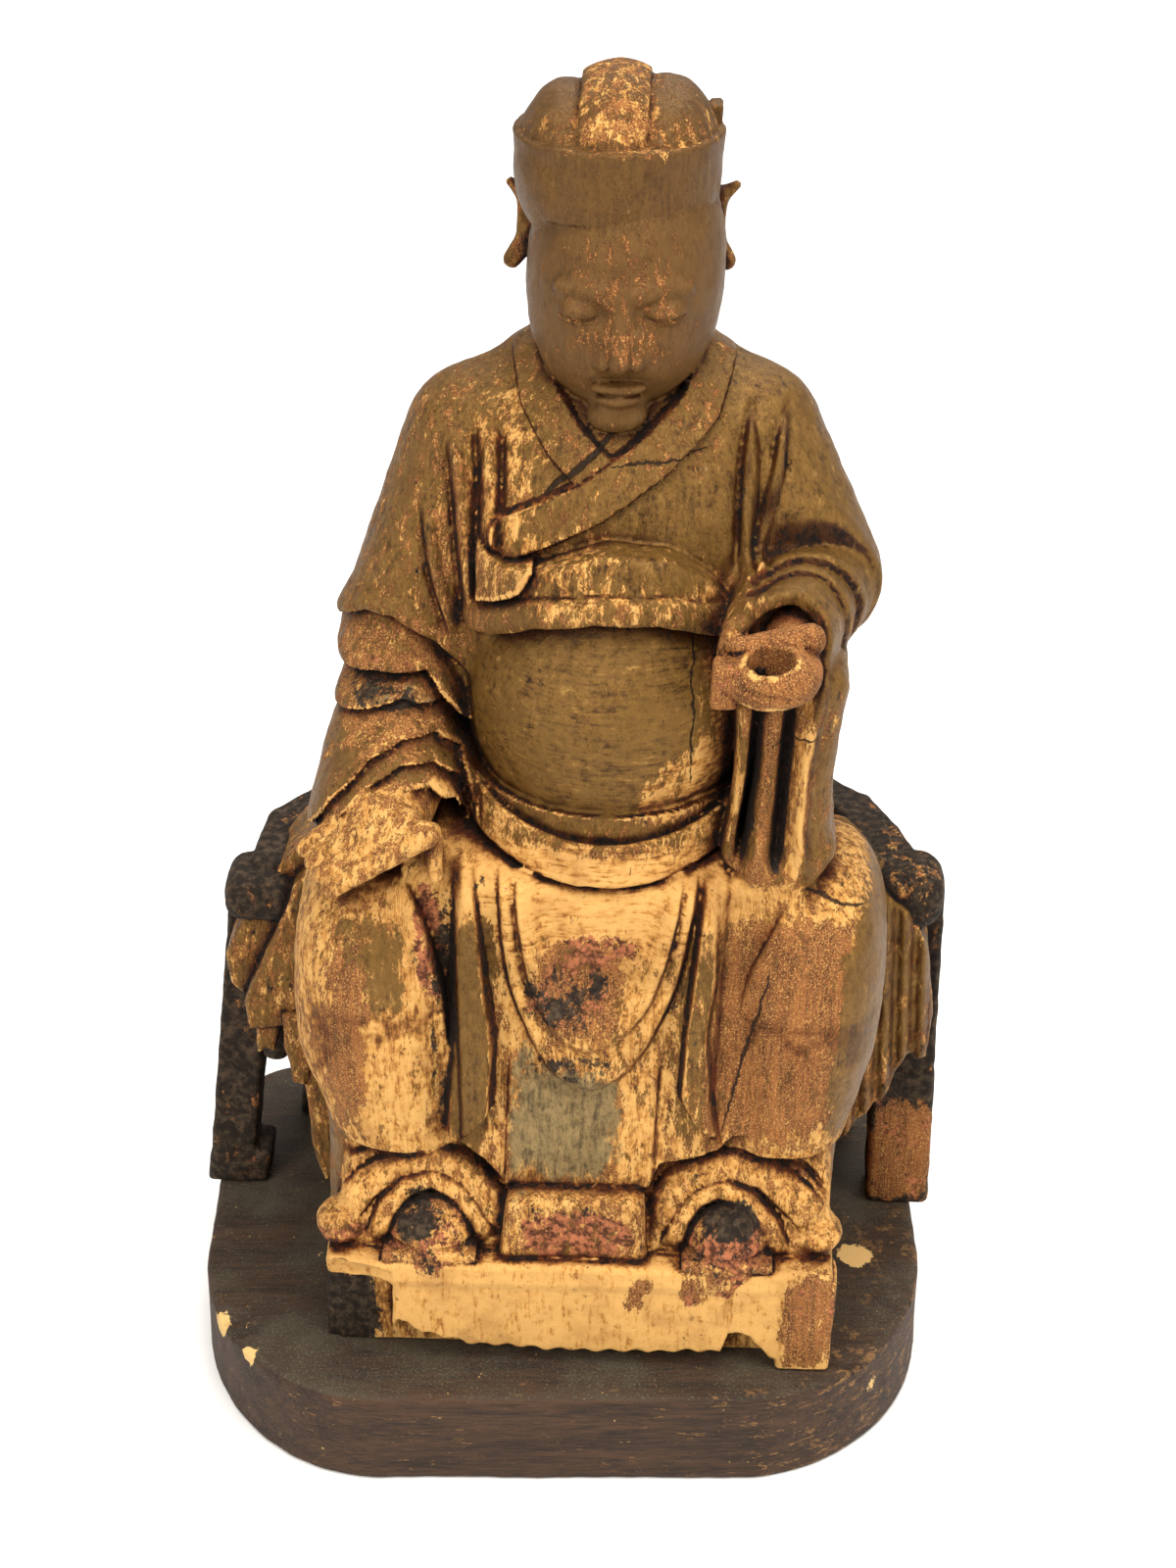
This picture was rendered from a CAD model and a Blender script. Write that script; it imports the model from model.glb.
# %% [markdown]
# # A carved wooden deity, seated in a low chair
#
# The figure, its horseshoe chair and its footstool are cut from one block of wood, which stands on a
# separate plinth board. The block was covered with gesso, lacquered, gilded and handled for a long time,
# so the gilding survives on the smooth swelling parts and the pale gesso and the wood show elsewhere.
#
# The block is made the way a carver thinks of it, as big simple masses that are joined, cut and then
# grooved. Each mass is a **distance field**: a function that says how far a point is from the wood,
# negative inside. Joining two masses is the smaller of two numbers, and a fold is a small number taken away.

# %% The tools and the frame
import math

import bpy
import numpy as np
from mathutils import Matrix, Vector


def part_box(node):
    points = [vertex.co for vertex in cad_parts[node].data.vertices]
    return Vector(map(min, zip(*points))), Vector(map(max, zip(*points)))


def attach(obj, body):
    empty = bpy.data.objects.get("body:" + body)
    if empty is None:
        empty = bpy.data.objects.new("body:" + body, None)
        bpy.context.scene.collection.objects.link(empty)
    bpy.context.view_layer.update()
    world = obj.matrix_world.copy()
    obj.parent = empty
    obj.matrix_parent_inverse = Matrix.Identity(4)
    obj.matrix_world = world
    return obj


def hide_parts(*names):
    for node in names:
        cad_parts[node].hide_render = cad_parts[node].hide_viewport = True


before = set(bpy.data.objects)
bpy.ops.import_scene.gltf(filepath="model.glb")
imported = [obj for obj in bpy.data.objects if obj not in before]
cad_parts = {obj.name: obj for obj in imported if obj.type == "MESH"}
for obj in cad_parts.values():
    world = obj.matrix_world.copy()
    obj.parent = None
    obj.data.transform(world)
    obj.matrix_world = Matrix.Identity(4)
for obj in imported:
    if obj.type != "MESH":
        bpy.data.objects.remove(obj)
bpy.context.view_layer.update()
print("the frame's nodes:", sorted(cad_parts))

# %% [markdown]
# ## Sizes
#
# Lengths in the field are millimetres in the block's own frame: its z = 0 is the plinth's top, x runs to
# the viewer's right and the figure faces -y. `to_world` leans and turns the block a little, as it stands
# in the photograph, and goes over to metres.

# %% Sizes
PLINTH_HEIGHT = 24.0
PLINTH_HALF_WIDTH = 85.0
PLINTH_FRONT, PLINTH_BACK = -66.0, 62.0
RESTING_GAP = 0.3
BLOCK_OFFSET = 3.0
LEAN = 0.042
TURN = math.radians(-2.5)
BLOCK_LOW, BLOCK_HIGH = (-96.0, -60.0, -1.0), (96.0, 62.0, 282.0)
CELL = 0.72
TRIANGLES = 196000
F = np.float32


def to_world(points):
    x, y, z = points.T
    across = x + LEAN * z
    return 0.001 * np.stack([
        BLOCK_OFFSET + across * math.cos(TURN) - y * math.sin(TURN),
        across * math.sin(TURN) + y * math.cos(TURN),
        PLINTH_HEIGHT + z,
    ], axis=1)


print("the block reaches from", BLOCK_LOW, "to", BLOCK_HIGH, "mm")


# %% [markdown]
# ## Tools for distance fields
#
# `ball`, `limb` and `slab` are the masses. `join` and `cut` round off the line where two masses meet.
# `ease` is a soft step from 0 to 1 and `hill` a soft bump: every fold below is built from these.

# %% Tools for distance fields
def mix(a, b, t):
    return a + (b - a) * t


def ease(low, high, v):
    t = np.clip((v - low) / (high - low), 0, 1)
    return t * t * (3 - 2 * t)


def hill(v, width):
    return np.exp(-((v / width) ** 2))


def length(*parts):
    return np.sqrt(sum(part * part for part in parts))


def smallest(*fields):
    out = fields[0]
    for field in fields[1:]:
        out = np.minimum(out, field)
    return out


def largest(*fields):
    return -smallest(*(-np.asarray(field) for field in fields))


def join(a, b, blend):
    h = np.maximum(blend - np.abs(a - b), 0) / blend
    return np.minimum(a, b) - h * h * (blend / 4)


def common(a, b, blend):
    return -join(-a, -b, blend)


def cut(a, tool, blend):
    return common(a, -tool, blend)


def ball(p, centre, radii):
    x, y, z = p[0] - centre[0], p[1] - centre[1], p[2] - centre[2]
    near = length(x / radii[0], y / radii[1], z / radii[2])
    far = length(x / radii[0] ** 2, y / radii[1] ** 2, z / radii[2] ** 2)
    return near * (near - 1) / np.maximum(far, 1e-6)


def pillow(p, centre, radii, power):
    """A ball with fuller corners: a power of 2 is the plain ball, a high one is nearly a box"""
    parts = [np.abs(p[i] - centre[i]) / radii[i] for i in range(3)]
    near = sum(part ** power for part in parts) ** (1 / power)
    slope = length(*(parts[i] ** (power - 1) / radii[i] for i in range(3)))
    return (near - 1) * near ** (power - 1) / np.maximum(slope, 1e-6)


def limb(p, a, b, radius_a, radius_b):
    d = [b[i] - a[i] for i in range(3)]
    q = [p[i] - a[i] for i in range(3)]
    t = np.clip(sum(q[i] * d[i] for i in range(3)) / sum(v * v for v in d), 0, 1)
    return length(*(q[i] - t * d[i] for i in range(3))) - mix(radius_a, radius_b, t)


def slab(p, centre, half, rounding):
    x, y, z = (np.abs(p[i] - centre[i]) - half[i] + rounding for i in range(3))
    outside = length(np.maximum(x, 0), np.maximum(y, 0), np.maximum(z, 0))
    return outside + np.minimum(largest(x, y, z), 0) - rounding


def trace(u, v, points):
    """The distance to a line of points, and how far along it the nearest point lies"""
    best = np.full_like(u, 1e9)
    along = np.zeros_like(u)
    for i in range(len(points) - 1):
        (ax, ay), (bx, by) = points[i], points[i + 1]
        dx, dy = bx - ax, by - ay
        t = np.clip(((u - ax) * dx + (v - ay) * dy) / (dx * dx + dy * dy), 0, 1)
        d = length(u - ax - t * dx, v - ay - t * dy)
        nearer = d < best
        best = np.where(nearer, d, best)
        along = np.where(nearer, (i + t) / (len(points) - 1), along)
    return best, along


def below_line(u, v, points):
    """How far a point lies under a line that runs from left to right, negative over it"""
    d = trace(u, v, points)[0]
    height = np.interp(u, [point[0] for point in points], [point[1] for point in points])
    return np.where(v < height, d, -d)


def outline_distance(u, v, points):
    """The distance to a closed outline, negative inside it"""
    closed = list(points) + [points[0]]
    inside = np.zeros(u.shape, bool)
    for (ax, ay), (bx, by) in zip(closed, closed[1:]):
        if ay != by:
            inside ^= ((v < ay) != (v < by)) & (u < ax + (v - ay) * (bx - ax) / (by - ay))
    d = trace(u, v, closed)[0]
    return np.where(inside, -d, d)


def lip(u, v, line, depth, fade):
    """Cloth that ends in a rolled lip along a line: it swells over the line and drops away under it"""
    below = below_line(u, v, line)
    drop = depth * ease(-0.5, 0.6, below) * np.exp(-np.maximum(below, 0) / fade)
    return drop - 0.35 * depth * hill(below + 1.9, 1.6)


def strip(u, v, points, half_width, height, edge=0.45):
    return height * (1 - ease(half_width - edge, half_width + edge, trace(u, v, points)[0]))


def ridge(u, v, points, width, height):
    d, along = trace(u, v, points)
    return height * hill(d, width) * ease(-0.05, 0.15, along) * ease(1.05, 0.85, along)


def along_line(p, a, b):
    d = [b[i] - a[i] for i in range(3)]
    return sum((p[i] - a[i]) * d[i] for i in range(3)) / math.hypot(*d)


def wavy(p, pitch, seed):
    """A slow irregular wobble between -1 and 1, from sines that never quite repeat"""
    x, y, z = (v * (6.283 / pitch) for v in p)
    a = np.sin(x + 1.7 * np.sin(0.63 * z + seed) + seed)
    b = np.sin(z * 0.83 + 1.3 * np.sin(0.71 * x + 2 * seed) + 0.5 * y)
    c = np.sin(0.9 * y + 1.1 * np.sin(0.57 * z - 0.4 * x + seed) + 2.1)
    return (a + b + c) / 3


tried = ball((15.0, 0.0, 0.0), (0, 0, 0), (10, 10, 10))
print("a point 15 mm from the middle of a 10 mm ball is", round(float(tried), 2), "mm outside it")


# %% [markdown]
# ## The footstool, the shoes and the skirt
#
# The stool is a board on two legs with an arched apron, whose lower edge is worn and uneven. The skirt
# breaks over each shoe in rolled waves, each a half-round roll along a line that arches over the shoe.

# %% The footstool, the shoes and the skirt
STOOL = {"left": -54.5, "right": 58.5, "front": -54.0}
APRON_EDGE = [
    (-60, 8), (-40.7, 5.4), (-37.6, 11.2), (-32.3, 7.7), (-21.3, 4.7), (5.2, 3.4), (34.7, 4.4), (36.2, 9.8),
    (41, 9.4), (45.4, 3), (60, 1),
]
FEET = [{"x": -31.0, "y": -44.6, "half": 10.4}, {"x": 34.5, "y": -45.4, "half": 10.0}]
SHOE_Z = 27.4
SKIRT_ROLLS = [
    {"line": [(-43.5, 29), (-40.9, 36.6), (-36.8, 41.4), (-31.2, 43.2), (-25, 40.6), (-20.4, 35.4),
              (-17.4, 30)], "width": 1.9, "height": 3.4},
    {"line": [(-51.5, 34.2), (-45.8, 41.2), (-39, 45.4), (-31.5, 47.2), (-24, 44.6), (-18.3, 38.6),
              (-15, 31)], "width": 2.3, "height": 3.0},
    {"line": [(22.2, 29), (23.8, 36.4), (27.2, 40.8), (32.2, 42.6), (38.4, 40), (43.4, 34.6), (46.6, 27.5)],
     "width": 1.9, "height": 3.4},
    {"line": [(18, 33), (21.6, 40.8), (26.8, 45.2), (33.4, 47.4), (42, 45.4), (49, 40), (54.5, 35)],
     "width": 2.5, "height": 3.2},
]
SKIRT_CREASES = [
    [(-57, 42), (-45, 49.6), (-34, 51.2), (-23, 48.8), (-15.5, 42.5)],
    [(19.6, 46), (28.6, 51.4), (39.4, 51), (50.7, 46), (58, 38)],
]
SKIRT_KNOBS = [
    {"centre": (-51.4, -43.5, 31.6), "radii": (5.4, 6.5, 4.8)},
    {"centre": (54.6, -42.5, 31.0), "radii": (5.2, 6.5, 3.6)},
]


def stool(p):
    x, y, z = p
    middle = (STOOL["left"] + STOOL["right"]) / 2
    half = (STOOL["right"] - STOOL["left"]) / 2
    depth = -STOOL["front"] / 2
    board = slab(p, (middle, STOOL["front"] + depth, 24.5), (half - 0.6, depth, 3), 1.6)
    panel = slab(p, (middle + 7.6, STOOL["front"] + depth + 0.5, 6), (half - 8, depth, 18), 1)
    under = np.maximum(-below_line(x, z + 0.4 * np.sin(1.1 * x), APRON_EDGE), y - STOOL["front"] - 9)
    apron = cut(panel, under, 0.8)
    legs = smallest(
        slab(p, (-47.5, STOOL["front"] + 13, 9), (6.8, 5.5, 17), 1.4),
        slab(p, (53, STOOL["front"] + 5, 8), (6, 5, 17), 1.2),
    )
    chip = ball(p, (STOOL["left"] + 2, STOOL["front"] - 1, 23), (15, 4.2, 5))
    notch = ball(p, (35.4, STOOL["front"] - 0.4, 15), (1.1, 1.6, 9))
    out = join(cut(board, chip + 0.4 * wavy(p, 6, 1), 0.5), cut(apron, notch, 0.5), 1.6)
    return np.minimum(out, legs)


def shoe(p, x, y, half):
    upper = ball(p, (x, y, SHOE_Z), (half, 9.2, 12.4))
    sole = slab(p, (x, y + 0.6, SHOE_Z + 1), (half, 9.4, 1.3), 1.0)
    welt = 0.5 * hill(p[2] - SHOE_Z - 3.2, 0.7)
    return join(upper + welt, sole, 0.6)


def shoes(p):
    return smallest(*(shoe(p, **foot) for foot in FEET))


def skirt(p):
    x, y, z = p
    front = mix(47.4, 38.2, ease(26, 53, z))
    side = largest(np.abs(x - 2.5) - 55 + 0.1 * np.maximum(z - 30, 0), y, z - 58)
    wave = z + 0.3 * wavy(p, 22, 1)
    rise = 0
    for roll in SKIRT_ROLLS:
        d, along = trace(x, wave, roll["line"])
        full = ease(-0.02, 0.12, along) * ease(1.02, 0.88, along)
        half_round = np.sqrt(np.maximum(1 - (d / (1.5 * roll["width"])) ** 2, 0))
        rise = np.maximum(rise, roll["height"] * full * half_round)
    for line in SKIRT_CREASES:
        rise = rise - ridge(x, wave, line, 0.8, 1.3)
    body = common(side, 0.8 * (-y - front - rise), 3)
    for knob in SKIRT_KNOBS:
        body = join(body, ball(p, knob["centre"], knob["radii"]), 1.5)
    return body


print("the stool is", STOOL["right"] - STOOL["left"], "mm wide, under", len(SKIRT_ROLLS), "rolls of skirt")


# %% [markdown]
# ## Legs and lap
#
# Over each knee the robe is pulled into a broad panel, full at the knee and narrow at its hem. Between
# the knees hangs an apron. It is carved as one front with a depth: two swags of cloth, each with a rolled
# rim, then a flat panel, and a fold on either side that runs down to a point.

# %% Legs and lap
LEGS = [
    {"x": -44.2, "half": 19.6, "foot": -38.4, "foot_half": 15.4, "middle": 85.0, "top": 117.5, "hem": 48.5},
    {"x": 47.4, "half": 17.4, "foot": 45.0, "foot_half": 14.4, "middle": 85.0, "top": 118.0, "hem": 49.5},
]
KNEE_Y, KNEE_DEEP, KNEE_POWER = -19.5, 24.6, 2.7
RIGHT_RIM = [(-42, 122), (-40, 117), (-35.3, 106), (-31, 92), (-27.6, 73.6), (-26, 54), (-26, 40)]
LEFT_RIM = [(46, 122), (41, 110.3), (35.7, 97.6), (32.8, 85.7), (31.4, 70.3), (32.2, 51.9), (33, 40)]
LAP_TOP = 124.5
LAP_HEM = [(-45, 60), (-26, 54.5), (-20, 49), (-15.2, 43.4), (-10, 43), (12, 42.6), (16.4, 43), (18.6, 49),
           (31, 52), (34, 55), (48, 58)]
SWAGS = [
    {"x": 1.8, "across": 21.4, "drop": 56.0, "height": 3.0},
    {"x": 2.0, "across": 18.0, "drop": 46.6, "height": 3.4},
]
LEAVES = [
    {"outline": [(-29.7, 121), (-27.7, 95), (-26.3, 74), (-25.1, 54.8), (-18.3, 64.2), (-18.2, 81.6),
                 (-20.5, 95.3), (-24.2, 121)], "height": 4.6, "slope": 0.42, "middle": -23.0},
    {"outline": [(23.8, 119), (22.6, 100), (21.6, 82.8), (21.4, 68), (24.6, 61.7), (31.9, 52.7), (28.8, 68.4),
                 (27.2, 83), (28.2, 96.7), (27.3, 119)], "height": 3.8, "slope": -0.3, "middle": 25.0},
]


def edge_at(z, line):
    """How far across a line that runs downwards lies at each height"""
    return np.interp(-z, [-point[1] for point in line], [point[0] for point in line])


def leg(p, x, half, foot, foot_half, middle, top, hem):
    cx, cy, cz = p[0] - x, p[1] - KNEE_Y, p[2] - middle
    upper = pillow((cx, cy, cz), (0, 0, 0), (half, KNEE_DEEP, top - middle), KNEE_POWER)
    t = np.clip(-cz / (middle - hem), 0, 1.1)
    across = np.abs(cx - (foot - x) * t * t) / mix(half, foot_half, t ** 1.6)
    deep = np.abs(cy) / (KNEE_DEEP - 1.8 * t * t)
    column = ((across ** KNEE_POWER + deep ** KNEE_POWER) ** (1 / KNEE_POWER) - 1) * foot_half
    hem_line = hem + 0.012 * (p[0] - foot) ** 2 + 0.4 * wavy(p, 16, x)
    lower = common(column, largest(hem_line - p[2], cz), 0.9)
    return np.minimum(upper, lower)


def legs(p):
    x, y, z = p
    right, left = (leg(p, **each) for each in LEGS)
    right = common(right, x - edge_at(z, RIGHT_RIM), 1.4)
    left = common(left, edge_at(z, LEFT_RIM) - x, 1.4)
    right_thigh = limb(p, (-20, 14, 99), (-44, -10, 98), 20, 17.5)
    left_thigh = limb(p, (21, 14, 99), (47, -10, 98), 20, 15.5)
    both = np.minimum(join(right, right_thigh, 5), join(left, left_thigh, 5))
    rim = np.maximum(ridge(x, z, RIGHT_RIM, 1.8, 1.1), ridge(x, z, LEFT_RIM, 1.6, 0.7))
    return both - rim * ease(-20, -30, y)


def lap(p):
    x, y, z = p
    out = mix(44, 39.2, ease(43, 116, z))
    for swag in SWAGS:
        rho = length((x - swag["x"]) / swag["across"], (LAP_TOP - z) / swag["drop"])
        inside = (1 - rho) * swag["across"] + 0.3 * wavy(p, 18, swag["x"])
        out = out + swag["height"] * ease(-0.3, 1.2, inside) * (0.15 + 0.85 * hill(inside - 2.0, 2.6))
    out = out + 1.0 * ease(16.6, 15.6, np.abs(x - 0.9)) * ease(80, 72, z)
    out = out - 3.0 * ease(43.2, 42, z)
    for leaf in LEAVES:
        depth = -outline_distance(x, z, leaf["outline"])
        height = leaf["height"] + leaf["slope"] * (x - leaf["middle"])
        out = out + height * ease(-0.4, 1.4, depth) * mix(1, 0.4, ease(100, 120, z))
    out = out - 4.6 * ease(-26.5, -29.5, x - 0.02 * (z - 90)) * ease(46, 58, z)
    out = out - 2.4 * ease(27.5, 30, x) * ease(46, 58, z)
    body = common(0.8 * (-y - out), z - 118 - 0.004 * (x - 2) ** 2, 8)
    body = largest(common(body, below_line(x, z, LAP_HEM), 0.8), np.abs(x - 2.5) - 42, y)
    across = (x - 0.6) * (1 + 0.006 * (z - 34))
    hem = slab((across, y + 0.004 * across * across, z), (0, -36.4, 34.8), (15.8, 14, 8.8), 2.4)
    return np.minimum(body, hem)


print("the lap hangs in", len(SWAGS), "swags and", len(LEAVES), "pointed folds")


# %% [markdown]
# ## Trunk, belly, belts and collar
#
# The bare-looking belly is one smooth ball held between a rolled sash above and a hoop belt below. The
# collar's two bands are strips laid on the chest, the figure's left over its right.

# %% Trunk, belly, belts and collar
BELLY = {"centre": (2.8, -5.5, 148.0), "radii": (31.0, 32.5, 34.0)}
SASH = [(-28.5, 167), (-15, 174.6), (-2, 177.6), (12, 177), (22, 173), (30, 168)]
SASH_ROLL = [(-25, 173.5), (-13, 180.6), (0, 184), (11, 182.6), (19.5, 178.5), (25, 174.5)]
SASH_FLAP = [(-27, 184.5), (-20, 182.6), (-14.5, 183.5), (-17, 178.5), (-26.5, 172.5)]
UNDER_COLLAR = [(-19.5, 223), (-15.6, 213), (-9.6, 206), (-2, 199.5)]
OVER_COLLAR = [(21.2, 223), (17, 211.5), (7.5, 203.5), (-4, 195.5), (-20, 187)]
ARMPIT_FOLDS = [
    [(-32.5, 204), (-30, 188), (-28, 168)],
    [(-25.5, 207), (-24.4, 192), (-24, 160)],
    [(-38, 188), (-35, 174), (-31, 160)],
    [(27.8, 209), (27.9, 196), (28.6, 178)],
    [(34.4, 208), (33.0, 195), (30.6, 180)],
]
ARMPIT_GROOVES = [
    [(-34.5, 203), (-32.5, 188), (-29.6, 164)],
    [(-28.6, 207), (-27, 190), (-26.4, 160)],
    [(-22.8, 206), (-22, 194), (-22, 182)],
    [(-40, 190), (-37, 174), (-33, 161)],
    [(27.4, 211), (26, 204), (25.4, 196), (26, 180)],
    [(27.4, 211), (29.8, 202), (30, 194), (29.6, 183)],
    [(35.2, 210), (32.8, 205), (31.4, 196), (30, 184)],
    [(35.4, 210), (35.4, 199), (34, 190), (32.2, 180)],
]
BACK_FOLDS = [
    [(-9, 190), (-13, 160), (-17, 116)],
    [(2, 196), (1, 160), (3, 112)],
    [(12, 188), (17, 158), (22, 118)],
    [(-30, 184), (-35, 158), (-37, 124)],
    [(31, 186), (36, 160), (39, 126)],
]


def trunk(p):
    x, y, z = p
    chest = ball(p, (0.5, 4, 172), (38, 26.5, 47))
    back = ball(p, (0, 13, 160), (46, 24, 66))
    waist = largest((length((x - 2.8) / 31, (y + 3) / 33) - 1) * 31, np.abs(z - 110) - 22)
    hips = ball(p, (0, 11, 99), (55, 28, 22))
    seat = slab(p, (0, 18, 92), (50, 25, 12), 9)
    return join(join(join(chest, back, 8), np.minimum(hips, seat), 14), waist, 5)


def belly(p):
    return ball(p, BELLY["centre"], BELLY["radii"])


def belt(p):
    x = (p[0] - BELLY["centre"][0]) / 31
    outside = (length(x, (p[1] + 4) / 34) - 1) * 31
    middle = 121.5 + 7 * x * x
    flare = 0.16 * (p[2] - middle)
    band = common(np.abs(outside + 1 + flare) - 2.6, np.abs(p[2] - middle) - 4.2, 1.2)
    cord = length(outside + 0.2, p[2] - middle - 3.8) - 1.2
    return np.minimum(band, cord)


def sash(p):
    lower = trace(p[0], p[2], SASH)[0]
    upper, along = trace(p[0], p[2], SASH_ROLL)
    face = ball(p, (1.5, -2.2, 170), (32, 31.5, 44))
    band = common(face + 0.12 * lower * lower - 1, lower - 3, 0.8)
    roll = common(face + 1.4, upper - 4.2 * np.sin(math.pi * np.clip(along, 0.06, 0.94)), 1.2)
    flap = common(face - 0.9, outline_distance(p[0], p[2], SASH_FLAP), 0.8)
    return smallest(band, roll, flap)


def collar(p):
    x, y, z = p
    under = strip(x, z, UNDER_COLLAR, 4.2, 1.4)
    over = strip(x, z, OVER_COLLAR, 4.4, 2.4)
    return np.maximum(under, over) * ease(14, 4, y)


def body_folds(p):
    x, y, z = p
    front, back = 0, 0
    for line in ARMPIT_FOLDS:
        front = np.maximum(front, ridge(x, z, line, 1.6, 1.9))
    for line in ARMPIT_GROOVES:
        front = front - ridge(x + 0.3 * wavy(p, 20, 2), z, line, 0.85, 1.0)
    for line in BACK_FOLDS:
        back = np.maximum(back, ridge(x, z, line, 3, 1.6))
    return front * ease(6, -2, y) + back * ease(12, 20, y)


print("folds at the armpits:", len(ARMPIT_FOLDS), "and down the back:", len(BACK_FOLDS))


# %% [markdown]
# ## Arms, sleeves and hands
#
# A pushed-up sleeve is a limb that swells to several rolled lips, one over another. On the left arm their
# lines are drawn by the angle round the arm and the way along it, so that the folds arch over the arm. The
# raised fist is closed round an empty socket that once held something upright.

# %% Arms, sleeves and hands
RIGHT_ARM = {"shoulder": (-28, 9, 197), "elbow": (-42, 3, 156), "wrist": (-42.5, -19, 123)}
LEFT_ARM = {"shoulder": (26.5, 9, 198), "elbow": (41.6, 1, 170), "wrist": (34, -34, 170.5)}
FIST = {"centre": (34.0, -41.0, 169.5), "mouth": (4.9, 3.5)}
SOCKET_ASIDE, SOCKET_AHEAD = 0.5, -3.4
SLEEVE_LIPS = [
    {"line": [(-60, 159), (-50, 164.7), (-44, 164.5), (-35.5, 159.5), (-28, 151.5)], "depth": 3.0, "fade": 8},
    {"line": [(-60, 151), (-47.5, 153.4), (-37, 153.5), (-28.5, 143)], "depth": 2.8, "fade": 4.5},
    {"line": [(-60, 143), (-50, 146.5), (-41, 149), (-33, 147), (-28, 140)], "depth": 1.7, "fade": 3},
]
CUFF = [(-66, 106), (-60.5, 113), (-54.9, 121.5), (-47.1, 130.4), (-40.7, 134), (-34.5, 133.6), (-29.3, 129),
        (-26.4, 121), (-23, 110)]
CUFF_LIPS = (4.4, 8.8)
ARM_LIP_PITCH = 0.26
ARM_LIPS = [
    {"line": [(-60, 24), (-34, 17.8), (-19, 14.2), (-2, 12.4), (13, 9.5), (32, 6.2), (55, 2.7), (90, 1.3),
              (180, 0)], "depth": 2.2, "fade": 6},
    {"line": [(-60, 32), (-31, 27.2), (-15, 22.3), (5, 18.7), (26, 15.8), (49, 14.1), (81, 11.5), (180, 8)],
     "depth": 1.6, "fade": 4},
    {"line": [(-60, 36), (-33, 32), (-15, 26), (8, 22.4), (31, 20.6), (61, 21), (108, 19), (180, 17)],
     "depth": 1.2, "fade": 3},
]
ARM_OPENING = [(-60, 44), (-30, 39), (-9, 33.8), (18, 30.6), (47, 30.8), (83, 32.5), (120, 33), (180, 34)]
SLEEVE_HEM = [(26, 118), (31, 115.6), (38.6, 114.6), (46, 116.4), (50, 121)]
SLEEVE_OPENING = [(45.5, 172), (44.5, 160), (42.7, 147), (42.6, 130), (46, 117)]
SLEEVE_PLEATS = [
    [(29.2, 162), (29.4, 140), (27.5, 118)],
    [(35.4, 162), (35.2, 140), (34.0, 118)],
    [(42.4, 160), (41.8, 140), (42.5, 118)],
]
SLEEVE_GROOVES = [[(32.4, 164), (32.2, 142), (30.6, 122)], [(38.6, 162), (38.4, 140), (38.2, 121)]]


def right_arm(p):
    x, y, z = p
    shoulder, elbow, wrist = RIGHT_ARM["shoulder"], RIGHT_ARM["elbow"], RIGHT_ARM["wrist"]
    sleeve = join(limb(p, shoulder, elbow, 16.4, 15.2), limb(p, elbow, wrist, 14.2, 18), 4)
    front = ease(10, -2, y)
    for each in SLEEVE_LIPS:
        sleeve = sleeve + front * lip(x, z + 0.4 * wavy(p, 18, 3), each["line"], each["depth"], each["fade"])
    under = below_line(x, z, CUFF)
    for up in CUFF_LIPS:
        sleeve = sleeve + front * lip(x, z - up + 0.3 * wavy(p, 14, up), CUFF, 1.7, 2.6)
    inner = np.maximum(limb(p, elbow, wrist, 9.5, 13), -4.5 - under)
    fall = limb(p, (-47, 0, 144), (-57, -1, 108), 7, 6.5)
    return join(cut(common(sleeve, under, 1.6), inner, 0.8), fall, 3)


def left_arm(p):
    x, z = p[0], p[2]
    shoulder, elbow, wrist = LEFT_ARM["shoulder"], LEFT_ARM["elbow"], LEFT_ARM["wrist"]
    t = along_line(p, elbow, wrist)
    across = x - mix(elbow[0], wrist[0], t / 36)
    turned = np.degrees(np.arctan2(across, z - elbow[2]))
    upper = limb(p, shoulder, elbow, 16.5, 16)
    lower = limb(p, elbow, wrist, 15.8, 11)
    sleeve = np.minimum(upper, lower)
    behind = t + 0.4 * wavy(p, 16, 5)
    shown = ease(-3, 8, t) * ease(-48, -22, turned)
    for each in ARM_LIPS:
        line = [(ARM_LIP_PITCH * angle, -along) for angle, along in each["line"]]
        sleeve = sleeve + shown * lip(ARM_LIP_PITCH * turned, -behind, line, each["depth"], each["fade"])
    end = [(ARM_LIP_PITCH * angle, -along) for angle, along in ARM_OPENING]
    under = below_line(ARM_LIP_PITCH * turned, -behind, end)
    inner = np.maximum(limb(p, elbow, wrist, 11, 7.6), -6 - under)
    return cut(common(sleeve, under, 1.4), inner, 0.8)


def left_sleeve(p):
    x, y, z = p
    waisted = 1.8 * np.sin(math.pi * np.clip((z - 113) / 52, 0, 1))
    shape = [np.abs(x - 39.6) - 11.2 + waisted, np.abs(y + 11.5) - 25 + 0.6 * waisted, z - 166]
    outside = length(*(np.maximum(v + 5.5, 0) for v in shape))
    body = outside + np.minimum(largest(*shape) + 5.5, 0) - 5.5
    front = ease(-18, -28, y)
    for line in SLEEVE_PLEATS:
        body = body - front * ridge(x, z, line, 1.9, 2.3)
    for line in SLEEVE_GROOVES:
        body = body + front * ridge(x, z, line, 1.0, 2.6)
    body = body - front * ridge(x, z, SLEEVE_OPENING, 1.2, 1.8)
    body = body - 1.2 * hill(z - 119 - 0.03 * (x - 39) ** 2, 3.5)
    return common(body, below_line(x, z, SLEEVE_HEM), 2)


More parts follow.
